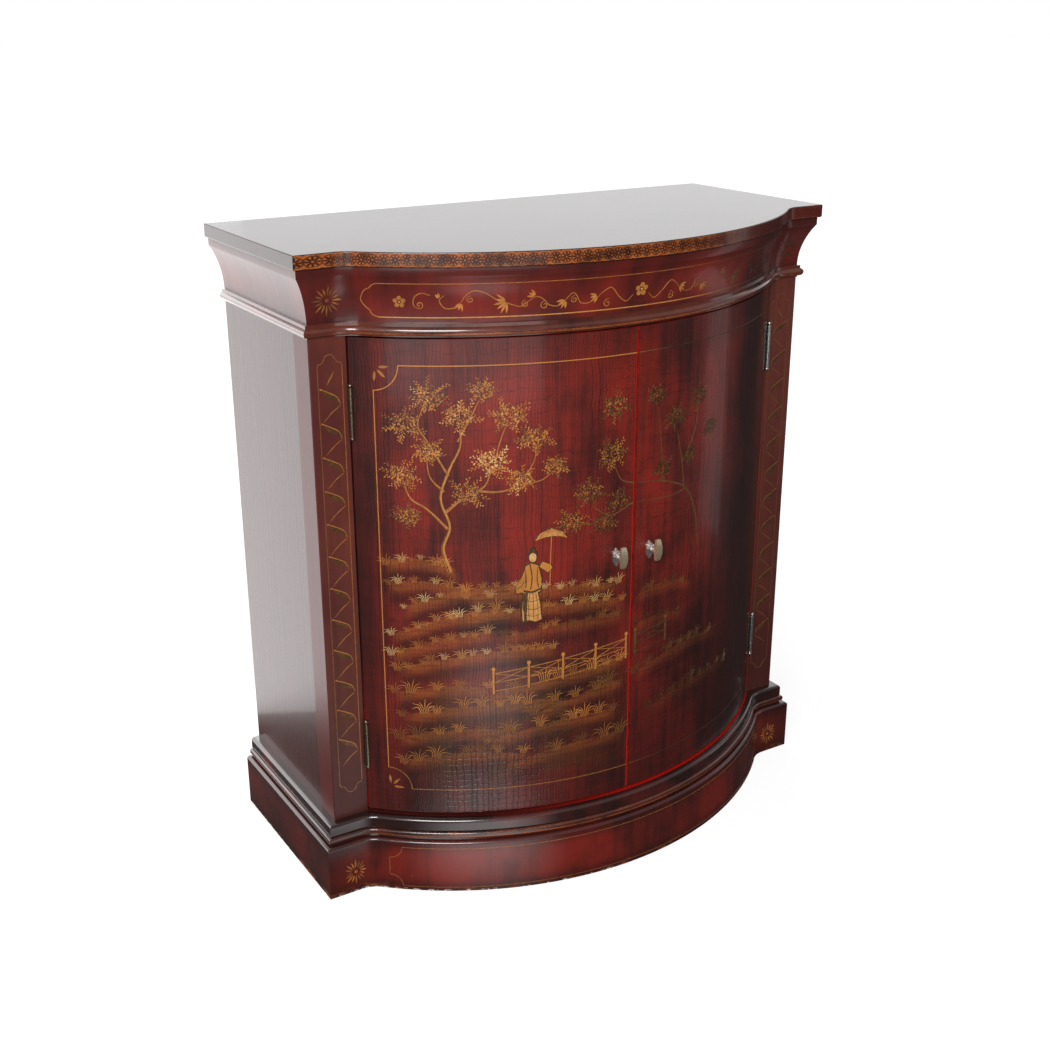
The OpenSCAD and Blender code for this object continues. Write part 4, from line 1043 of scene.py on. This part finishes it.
class CHEST_OT_ornament(ChestPiece):
    """Paints the gilt borders and ornaments of cornice, posts and plinth"""
    bl_idname = "chest.ornament"
    bl_label = "Ornament"

    def build(self):
        gilding()
        self.cornice()
        self.posts()
        self.plinth()

    def cornice(self):
        _, rise, radius = cove_circle()
        full = radius * math.asin(rise / radius)
        top, low = full * 0.81, full * 0.105
        line = painting().line
        half = Drawing()
        daisy(half, -412 * MM, full * 0.45, 22 * MM, 0.36)
        end = flow([(-344 * MM, top), (-349 * MM, top - 2 * MM), (-354 * MM, top - 7 * MM)], 5)
        lobe = flow([(-354 * MM, top - 7 * MM), (-361 * MM, top - 11 * MM), (-366.5 * MM, full * 0.46),
                     (-362 * MM, low + 14 * MM), (-356 * MM, low + 9 * MM)], 6)
        foot = flow([(-356 * MM, low + 9 * MM), (-353 * MM, low + 3 * MM), (-345 * MM, low)], 5)
        half.stroke(np.linspace((0, top), (-344 * MM, top), 70), line * 0.8, 0.5)
        half.stroke(np.linspace((0, low), (-345 * MM, low), 70), line * 1.15, 0.72)
        for part in (end, lobe, foot):
            half.stroke(part, line * 0.9, 0.55)
        blossom(half, -318 * MM, full * 0.42, 8.5 * MM, 0.5)
        mid = full * 0.42
        for stem in self.vine(mid):
            half.stroke(stem, 1.5 * MM, 0.52, 0.5, 0.6)
        fans = ((-184, mid - 1 * MM, 205, 6, 16), (-241, mid, 250, 3, 11), (-147, mid + 4 * MM, 150, 3, 11),
                (-108, mid - 2 * MM, 230, 4, 12), (-64, mid, 205, 4, 11), (-268, mid + 3 * MM, 110, 2, 8))
        for u, v, middle, count, long in fans:
            for i in range(count):
                angle = math.radians(middle + (i - (count - 1) / 2) * 25)
                reach = long * (1 - 0.1 * (i % 2))
                half.leaf((u + 2 * math.cos(angle)) * MM, v + 2 * MM * math.sin(angle), angle, reach * MM,
                          3.6 * MM, 0.6 + 0.1 * (i % 2))
        whole = half.mirrored().join(half)
        blossom(whole, 0, full * 0.45, 10 * MM, 0.6)
        # Painted shade: the gilding fades towards the right.
        whole.toned(lambda u: max(0.1, min(1, 1.3 - u / 0.2))).laid("cornice_gilding", on_cove)

    def vine(self, mid):
        """Stems of the scroll between the blossoms, in millimetres along and over the middle."""
        stems = (
            [(-12, -4), (-22, -12), (-34, -4), (-46, 9), (-56, 5), (-64, -2)],
            [(-64, -2), (-76, -9), (-88, -8), (-94, 2), (-100, 6), (-108, -2)],
            [(-108, -2), (-118, -10), (-130, -8), (-138, 0), (-147, 4), (-156, -1)],
            [(-156, -1), (-166, -8), (-176, -6), (-184, -3), (-196, 1), (-212, 12), (-226, 15),
             (-236, 8), (-241, 0)],
            [(-241, 0), (-250, -8), (-262, -8), (-268, 2), (-262, 9)],
            [(-279, 9), (-290, 12), (-299, 6), (-300, -5), (-293, -9)])
        lines = [[(u * MM, mid + v * MM) for u, v in flow(stem, 7)] for stem in stems]
        curls = ((-50, -12, 6, 1.2, 1.1), (-97, -3, 5, 1.6, 1.2), (-136, -8, 6, 1.3, 1.1),
                 (-161, -5, 5, 1.5, 1.2), (-230, 3, 5, 1.5, 1.2), (-293, -4, 5, -1.5, 1.0))
        for u, v, radius, start, turns in curls:
            lines.append(curl(u * MM, mid + v * MM, radius * MM, start, turns))
            lines.append([lines[-1][-1] + Vector((0.4 * MM * k, 0.5 * MM * k)) for k in (-2, 0, 2)])
        return lines

    def posts(self):
        line = painting().line
        middle = -(CASE_HALF + OPEN_HALF) / 2 + 2 * MM
        left, right = middle - 17 * MM, middle + 17 * MM
        head, foot = CASE_TOP_Z - 38 * MM, SILL_Z + 54 * MM
        half = Drawing()
        for x, tone in ((left, 0.36), (right, 0.46)):
            half.stroke(np.linspace((x, foot), (x, head), 40), line * 0.72, tone)
        for end, up in ((head, 1), (foot, -1)):
            for side, x in ((1, left), (-1, right)):
                bow = [(x + side * u * MM, end + up * v * MM)
                       for u, v in ((0, 0), (1.5, 4), (6, 5), (9, 9), (12, 14))]
                half.stroke(flow([*bow, (middle, end + up * 16 * MM)], 5), line * 0.72, 0.4)
        rims = Drawing(1.4)
        pitch = 45.6 * MM
        top = head - 28 * MM
        half.leaf(middle + 6 * MM, head - 6 * MM, math.radians(238), 22 * MM, 3 * MM, 0.42)
        for i in range(int((top - foot) / pitch)):
            z = top - i * pitch
            fall = flow([(left + 3 * MM, z), (middle - 4 * MM, z - 5 * MM), (right - 9 * MM, z - 12.5 * MM),
                         (right - 4 * MM, z - pitch / 2)], 6)
            back = flow([(right - 4.5 * MM, z - pitch / 2 - 1.5 * MM), (middle + 1 * MM, z - pitch * 0.7),
                         (left + 5.5 * MM, z - pitch * 0.95)], 6)
            half.fill([*fall, (right - 10 * MM, z - 17.5 * MM), (middle - 6 * MM, z - 11.5 * MM)], 0.14)
            rims.stroke(fall, 1.2 * MM, 0.56, 1.0, 0.4)
            half.stroke(back, 1.4 * MM, 0.44, 0.6, 0.3)
            half.fill(circle(left + 3 * MM, z, 1.4 * MM, 8), 0.5)
        half.join(rims)
        half.laid("post_left_gilding", on_post)
        # Painted shade: the vine on the right post is dimmer.
        half.mirrored().toned(lambda u: 0.62).laid("post_right_gilding", on_post)

    def plinth(self):
        line = painting().line
        top, low = PLINTH_HIGH[2] - 11 * MM, 6.5 * MM
        inner, outer = -336 * MM, -354 * MM
        half = Drawing()
        daisy(half, -421 * MM, 33 * MM, 21 * MM, 0.44)
        hollow = 18 * MM
        for path, tone in ((np.linspace((0, top), (inner, top), 70), 0.42),
                           (np.linspace((0, low), (inner, low), 70), 0.36),
                           (np.linspace((outer, top - hollow), (outer, low + hollow), 5), 0.42),
                           (hollow_corner(outer, top, hollow, -1), 0.42),
                           (hollow_corner(outer, low, hollow, 1), 0.42)):
            half.stroke(path, line * 0.7, tone)
        half.mirrored().join(half).laid("plinth_gilding", on_plinth)


class CHEST_OT_doors(ChestPiece):
    """Paints borders and landscape on the doors"""
    bl_idname = "chest.doors"
    bl_label = "Doors"

    def build(self):
        self.chance = random.Random(painting().seed)
        left = self.border()
        # The right door's drawing fades towards the right: partly darker glaze, partly painted shade.
        right = left.mirrored().toned(lambda u: max(0.05, 0.6 - u / 0.12))
        for drawing, side, body in ((left, -1, "left_door"), (right, 1, "right_door")):
            drawing.join(self.foliage(side)).join(self.grass(side))
            self.branches(drawing, side)
            self.fence(drawing, side)
            if side < 0:
                self.stroller(drawing)
            drawing.laid(body + "_gilding", on_bow, body)

    def border(self):
        p = painting()
        outer = -(BOW_R * math.asin(-DOOR_LEFT / BOW_R) - p.border_side)
        top, low = DOOR_HEAD - p.border_head, DOOR_FOOT + p.border_foot
        end = BOW_R * math.asin(DOOR_MEET / BOW_R) - 0.2 * MM
        half = Drawing()
        turn = outer + p.corner
        for path, wide, tone in (
                (np.linspace((end, top), (turn, top), 60), 1, 0.66),
                (np.linspace((end, low), (turn, low), 60), 0.8, 0.42),
                (np.linspace((outer, top - p.corner), (outer, low + p.corner), 60), 1, 0.58),
                (hollow_corner(outer, top, p.corner, -1), 1, 0.62),
                (hollow_corner(outer, low, p.corner, 1), 0.8, 0.42)):
            half.stroke(path, p.line * wide, tone)
        for z, up in ((top, 1), (low, -1)):
            for turn in (0, 50, -50):
                a = math.radians((-45 if up > 0 else 45) + turn)
                half.leaf(outer + (3 + 4 * math.cos(a)) * MM, z + (4 * math.sin(a) - up * 3) * MM, a,
                          15 * MM, 4.4 * MM, 0.46)
        return half

    def crowns(self, side):
        """Middle, radius and tone of each clump of leaves, in millimetres."""
        # Tones fall towards the right and are lowest on the right door: partly darker glaze, partly painted
        # shade.
        if side < 0:
            return ((-318, 690, 26, 0.5), (-286, 728, 27, 0.55), (-246, 702, 25, 0.6), (-216, 735, 20, 0.52),
                    (-183, 700, 26, 0.6), (-148, 668, 25, 0.55), (-322, 622, 24, 0.55), (-287, 655, 22, 0.6),
                    (-204, 640, 26, 0.78), (-168, 612, 23, 0.62), (-238, 598, 24, 0.5), (-318, 566, 20, 0.45),
                    (-120, 628, 19, 0.5), (-34, 700, 24, 0.34), (-38, 634, 25, 0.4), (-70, 586, 25, 0.3),
                    (-26, 566, 21, 0.26), (-98, 546, 22, 0.4), (-48, 538, 22, 0.26))
        return ((34, 705, 18, 0.2), (72, 668, 22, 0.18), (118, 690, 20, 0.15), (48, 600, 18, 0.16),
                (146, 640, 18, 0.12), (100, 610, 16, 0.14))

    def foliage(self, side):
        spots, chance = [], self.chance
        crowded, apart, flat = 7.5, 3.6, 0.85
        for u, v, radius, tone in self.crowns(side):
            for i in range(int(radius * crowded)):
                far = radius * 0.68 * math.sqrt(chance.random())
                a = chance.uniform(0, 2 * math.pi)
                x, y = far * math.cos(a) * 1.1, far * math.sin(a) * flat
                light = tone + chance.uniform(-0.55, 0.12) + 0.24 * (1 - far / radius) ** 2
                spots.append(((u + x) * MM, (v + y) * MM, chance.uniform(0, 2 * math.pi),
                              chance.uniform(0.5, 0.95), light))
            sprays = int(radius / 2.1)
            for i in range(sprays):
                a = 2 * math.pi * (i + chance.uniform(-0.3, 0.3)) / sprays
                bend, reach = chance.uniform(-0.4, 0.4), radius * chance.uniform(0.85, 1.3)
                light = tone + chance.uniform(-0.16, 0.2)
                for k in range(int(reach / apart)):
                    far = 0.3 * reach + 0.7 * reach * k / (reach / apart)
                    turn = a + bend * far / reach
                    x, y = far * math.cos(turn) * 1.1, far * math.sin(turn) * flat
                    spots.append(((u + x) * MM, (v + y) * MM, turn + (0.75 if k % 2 else -0.75),
                                  chance.uniform(0.6, 0.95), light + chance.uniform(-0.1, 0.1)))
        return scattered(lambda d: d.leaf(0, 0, 0, 1, 0.42, 0), spots, painting().leaf)

    def branches(self, drawing, side):
        limbs = [([(-262, 486), (-271, 520), (-262, 552), (-273, 590), (-262, 628), (-246, 662),
                   (-247, 694)], 5), ([(-264, 548), (-290, 575), (-312, 590), (-322, 616)], 3.2),
                 ([(-268, 600), (-286, 620), (-290, 650)], 2.6),
                 ([(-262, 622), (-288, 668), (-300, 690), (-290, 722)], 2.6),
                 ([(-266, 572), (-244, 590), (-216, 606), (-204, 634)], 3.4),
                 ([(-222, 600), (-196, 598), (-172, 606), (-150, 636), (-146, 660)], 2.6),
                 ([(-204, 624), (-196, 660), (-184, 694)], 2.2),
                 ([(-249, 668), (-232, 700), (-218, 728)], 2.0),
                 ([(-168, 606), (-140, 610), (-122, 622)], 1.8),
                 ([(-2, 588), (-22, 596), (-34, 618), (-40, 622)], 1.8),
                 ([(-2, 560), (-36, 548), (-60, 560), (-66, 566)], 1.6),
                 ([(-36, 548), (-70, 540), (-96, 546)], 1.4)]
        if side > 0:
            limbs = [([(128, 470), (118, 520), (96, 560), (52, 580), (2, 588)], 3.4),
                     ([(96, 560), (60, 556), (2, 560)], 2.0), ([(92, 564), (84, 610), (72, 656)], 2.2),
                     ([(86, 600), (110, 640), (116, 680)], 1.8), ([(52, 580), (44, 640), (36, 694)], 1.8)]
        for knots, width in limbs:
            line = [p * MM for p in flow(knots, 8)]
            # Limbs towards the right, most on the right door, have lower tones: partly darker glaze, partly
            # painted shade.
            tone = 0.2 if side > 0 else 0.5 if knots[0][0] < -100 else 0.3
            drawing.stroke(line, width * 0.85 * MM, tone, 1.5, 0.3)
            if width > 2.5 and side < 0:
                for shift, wide, shade, tip in ((-0.3, 0.3, 0.08, 1.2), (0.2, 0.22, 0.7, 0.8)):
                    drawing.stroke([p + Vector((width * shift * MM, 0)) for p in line], width * wide * MM,
                                   shade, tip, 0.2)

    def grass(self, side):
        """Tufts and short blades along the crests of the hillocks."""
        def tuft(drawing):
            for lean, long in ((-1.4, 0.8), (-0.9, 1.0), (-0.4, 0.9), (0.1, 1.1), (0.6, 0.95), (1.1, 0.8)):
                knots = [(0.2 * lean, -0.04), (0.2 * lean + 0.3 * long * math.sin(lean * 0.5), 0.55 * long),
                         (0.2 * lean + 0.8 * long * math.sin(lean), long * math.cos(lean * 0.8))]
                drawing.stroke(flow(knots, 3), 0.055, 0, 0.5, 0.1)

        def blade(drawing):
            drawing.leaf(0, 0, math.pi / 2, 1, 0.16, 0)
        chance = self.chance
        tufts, blades, free, pitch = [], [], 0, 3.6
        for hillock in HILLOCKS:
            left, right, foot, *_, strength = hillock
            if (left + right) * side < 0:
                continue
            for u in np.arange(left + 4, right - 4, pitch):
                high = crest(hillock, (u - left) / (right - left))
                if abs(u - STROLLER[0]) < 17 and 395 < high < 500:
                    continue
                lift = -0.1 if foot > 310 else -0.2
                # Blades and tufts on the right door have a low tone: partly darker glaze, partly painted
                # shade.
                light = (0.5 + lift if side < 0 else 0.1) + chance.uniform(-0.3, 0.22)
                blades.append((u * MM, (high - chance.uniform(0, 7)) * MM, chance.uniform(-0.6, 0.6),
                               chance.uniform(0.5, 1.1), (light - 0.12) * strength))
                large = 1 if foot > 330 else 1.5
                if abs(u - free) > 13 * large * chance.uniform(0.7, 2.9):
                    free = u
                    tufts.append((u * MM, (high - chance.uniform(0, 5)) * MM, chance.uniform(-0.2, 0.2),
                                  large * chance.uniform(0.6, 1.2), (light + 0.42) * strength))
        return scattered(tuft, tufts, 13 * MM).join(scattered(blade, blades, 5 * MM))

    def fence(self, drawing, side):
        start, end = (-206, -8) if side < 0 else (8, 64)
        # The fence on the right door has a low tone: partly darker glaze, partly painted shade.
        tone, count = (0.55, 5) if side < 0 else (0.2, 2)
        slope = 0.12
        posts = [start + (end - start) * i / (count - 1) for i in range(count)]
        for i, u in enumerate(posts):
            foot = 303 + (u + 206) * slope
            for shift, wide, shade in ((0, 3.4, tone), (1.9, 0.9, 0.05)):
                drawing.stroke([((u + shift) * MM, (foot + z) * MM) for z in (0, 18, 36)], wide * MM, shade)
            drawing.fill(circle(u * MM, (foot + 38) * MM, 2.9 * MM, 10), tone + 0.1)
            if i + 1 < count:
                v = posts[i + 1]
                lift = (v - u) * slope
                for low, high, wide in ((31, 31, 1.7), (17, 17, 1.4), (17, 31, 1.2), (31, 17, 1.2),
                                        (4, 4, 1.4)):
                    drawing.stroke([((u + (v - u) * t) * MM, (foot + low + (high + lift - low) * t) * MM)
                                    for t in np.linspace(0, 1, 9)], wide * MM, tone - 0.08)

    def stroller(self, drawing):
        """Small robed figure with a parasol."""
        def at(points):
            return [Vector(((u + STROLLER[0]) * MM, (v + STROLLER[1]) * MM)) for u, v in points]

        def disc(u, v, wide, high, turn=2 * math.pi):
            return [(u + wide * math.cos(a), v + high * math.sin(a)) for a in np.linspace(0, turn, 16)[:-1]]
        rim, robe, trim = Drawing(), Drawing(1.5), Drawing(2.0)
        for shape, tone in (
                ([(-14, 1), (-15, 22), (-10, 46), (8, 46), (12, 24), (14, 2), (6, -1), (-4, 2)], 0.76),
                ([(-15, 0), (-16, 24), (-11, 46), (-5, 46), (-8, 22), (-7, 1)], 0.12),
                ([(-13, 42), (-16, 62), (-9, 83), (-2, 87), (9, 83), (14, 62), (12, 43), (0, 40)], 0.6),
                ([(-15, 66), (-23, 52), (-22, 43), (-13, 44), (-9, 56), (-9, 76)], 0.52),
                ([(10, 80), (22, 70), (29, 76), (26, 82), (14, 87)], 0.66),
                (disc(1, 94, 5.4, 7.0), 0.82), (disc(1, 97.5, 6.8, 6.6, math.pi), 0.1),
                (disc(1, 105, 3.4, 3.2), 0.1),
                ([(3, 117), (10, 127), (27, 134), (43, 127), (51, 117), (39, 121), (27, 122),
                  (15, 121)], 0.72)):
            outline = at(shape)
            middle = sum(outline, Vector((0, 0))) / len(outline)
            rim.fill([p + (p - middle).normalized() * 1.3 * MM for p in outline], 0.04)
            robe.fill(outline, tone)
        for line, width, tone in (
                ([(25, 50), (26, 92), (27, 122)], 1.2, 0.62), ([(-12, 47), (0, 44), (12, 48)], 3.4, 0.08),
                ([(-3, 85), (0, 66), (-2, 48)], 1.8, 0.1), ([(-10, 78), (-8, 62), (-9, 50)], 1.5, 0.14),
                ([(8, 80), (7, 64), (9, 50)], 1.6, 0.14), ([(-20, 50), (-15, 54), (-11, 60)], 1.2, 0.15),
                ([(2, 3), (2, 22), (1, 44)], 0.9, 0.14), ([(8, 2), (8, 22), (5, 44)], 0.9, 0.14),
                ([(-4, 3), (-5, 22), (-3, 44)], 0.9, 0.14), ([(-7, 10), (3, 8), (13, 11)], 0.9, 0.16),
                ([(-7, 20), (3, 18), (13, 21)], 0.9, 0.16), ([(-7, 32), (2, 30), (12, 33)], 0.9, 0.16),
                ([(27, 134), (15, 126), (9, 119)], 0.6, 0.25), ([(27, 134), (22, 128), (19, 120)], 0.6, 0.25),
                ([(27, 134), (33, 128), (36, 120)], 0.6, 0.25),
                ([(27, 134), (40, 126), (46, 119)], 0.6, 0.25), ([(-1.4, 95), (-0.9, 95)], 0.9, 0.1),
                ([(3, 95), (3.5, 95)], 0.9, 0.1), ([(0.2, 90.4), (1.8, 90.2)], 0.6, 0.3)):
            trim.stroke(at(line) if len(line) == 2 else flow(at(line), 4), width * MM, tone)
        drawing.join(rim).join(robe).join(trim)


class CHEST_OT_stage(ChestPiece):
    """Sets the floor, the lamps, the world and the camera"""
    bl_idname = "chest.stage"
    bl_label = "Stage"

    def build(self):
        self.floor()
        self.world()
        for lamp in (("key", (-2.2, -2.6, 2.2), (0, -0.2, 0.45), 1.4, 1.4, 16),
                     ("front_panel_light", (-0.85, -2.6, 0.24), (-0.2, -0.4, 0.4), 1.5, 0.46, 1.3),
                     ("corner_panel_light", (-1.42, -1.34, 0.45), (-0.28, -0.12, 0.8), 0.7, 0.36, 1.6),
                     ("right_strip_light", (1.4, -0.5, 0.4), (0.2, -0.4, 0.4), 0.32, 0.8, 0.5),
                     ("back_panel_light", (1.5, 3.0, 1.9), (0, 0, 0.9), 3.4, 1.8, 0.35),
                     ("left_panel_light", (-0.62, 0.44, 0.475), (-0.4, 0.0, 0.475), 0.9, 0.95, 1.85)):
            self.lamp(*lamp)
        self.camera()
        bpy.context.scene.view_settings.view_transform = "Standard"

    def floor(self):
        """Floor that is white to the camera. Glossy rays see it dim, but for two painted pools of light on
        the left in front, which glow.
        """
        size = 40
        floor = new_object("floor", [(-size, -size, 0), (size, -size, 0), (size, size, 0), (-size, size, 0)],
                           [(0, 1, 2, 3)])
        mat = Shader("floor_paper")
        x, y = mat.x, mat.y
        camera_ray = mat.add("LightPath", out="Is Camera Ray")
        gloss_ray = mat.add("LightPath", out="Is Glossy Ray")

        def spot(u, v, low, high):
            return 1 - ((x - u) ** 2.0 + (y - v) ** 2.0).root().step(low, high)
        # Painted light: two glowing pools on the floor, seen only in reflections.
        painted_light_pool = spot(-0.28, -0.32, 0.04, 0.2).most(spot(-0.4, -0.75, 0.08, 0.3))
        far = (x * x + y * y).root().step(0.6, 1.7)
        plain, shown, dim, bright = ([grey] * 3 for grey in (0.36, 0.3, 0.05, 0.8))
        colour = mat.mix(mat.mix(plain, mat.mix(dim, bright, painted_light_pool), gloss_ray), shown, camera_ray)
        glow = camera_ray * (0.81 + far * 0.2) + gloss_ray * painted_light_pool * 0.9
        floor.data.materials.append(mat.close(mat.add("AddShader", None, {
            0: mat.add("BsdfDiffuse", None, {"Color": colour}),
            1: mat.add("Emission", None, {"Strength": glow})})))

    def world(self):
        """White to the camera and a plain level on the object. Glossy rays see the side that the
        camera stands on dimmer than the one behind the chest."""
        plain, dim, bright = 0.42, 0.3, 1.0
        sky = Shader("studio", "worlds")
        ahead = sky.split(sky.add("TexCoord", out="Generated"))[1]
        wall = sky.add("MapRange", None, {"Value": ahead, "From Min": 0.0, "From Max": 0.45,
                                          "To Min": dim, "To Max": bright})
        level = plain + (wall - plain) * sky.add("LightPath", out="Is Glossy Ray")
        level = sky.add("LightPath", out="Is Camera Ray").most(level)
        background = sky.add("Background", None, {"Color": (1, 1, 1), "Strength": level})
        bpy.context.scene.world = sky.close(background, "OutputWorld")

    def camera(self):
        camera = bpy.data.objects.new("camera", bpy.data.cameras.new("camera"))
        bpy.context.scene.collection.objects.link(camera)
        camera.location = (-1.0666, -1.6621, 1.1984)
        swing, tilt, roll = math.radians(-31.5), math.radians(69.52), -0.0023
        turn = Matrix.Rotation(swing, 3, "Z") @ Matrix.Rotation(tilt, 3, "X") @ Matrix.Rotation(roll, 3, "Z")
        camera.rotation_euler = turn.to_euler()
        camera.data.lens = 48
        camera.data.sensor_width = 36
        bpy.context.scene.camera = camera

    def lamp(self, name, place, target, width, height, glow):
        """Soft panel of the given brightness, facing its target."""
        data = bpy.data.lights.new(name, "AREA")
        data.shape = "RECTANGLE"
        data.size, data.size_y = width, height
        data.energy = glow * width * height * math.pi
        lamp = bpy.data.objects.new(name, data)
        bpy.context.scene.collection.objects.link(lamp)
        lamp.location = place
        aim = Vector(target) - Vector(place)
        lamp.rotation_euler = aim.to_track_quat("-Z", "Y").to_euler()
        lamp.visible_camera = False


class CHEST_PT_panel(bpy.types.Panel):
    """Lists the sizes, the colours and the steps"""
    bl_idname = "CHEST_PT_panel"
    bl_label = "Hall Chest"
    bl_space_type = "VIEW_3D"
    bl_region_type = "UI"
    bl_category = "Hall Chest"

    def draw(self, context):
        for group in (context.scene.chest_mouldings, context.scene.chest_finish,
                      context.scene.chest_painting):
            box = self.layout.box()
            for key in group.bl_rna.properties.keys():
                if key not in ("rna_type", "name"):
                    box.prop(group, key)
        for step in STEPS:
            self.layout.operator(step.bl_idname)


STEPS = (CHEST_OT_mouldings, CHEST_OT_case, CHEST_OT_ornament, CHEST_OT_doors, CHEST_OT_stage)
GROUPS = {"chest_mouldings": ChestMouldings, "chest_finish": ChestFinish,
          "chest_painting": ChestPainting}


def register():
    for group in GROUPS.values():
        bpy.utils.register_class(group)
    for step in STEPS:
        bpy.utils.register_class(step)
    bpy.utils.register_class(CHEST_PT_panel)
    for key, group in GROUPS.items():
        setattr(bpy.types.Scene, key, PointerProperty(type=group))


def unregister():
    for key in GROUPS:
        delattr(bpy.types.Scene, key)
    for kind in (CHEST_PT_panel, *STEPS, *GROUPS.values()):
        bpy.utils.unregister_class(kind)


def main():
    register()
    bpy.ops.chest.mouldings()
    bpy.ops.chest.case()
    bpy.ops.chest.ornament()
    bpy.ops.chest.doors()
    bpy.ops.chest.stage()


if __name__ == "__main__":
    main()
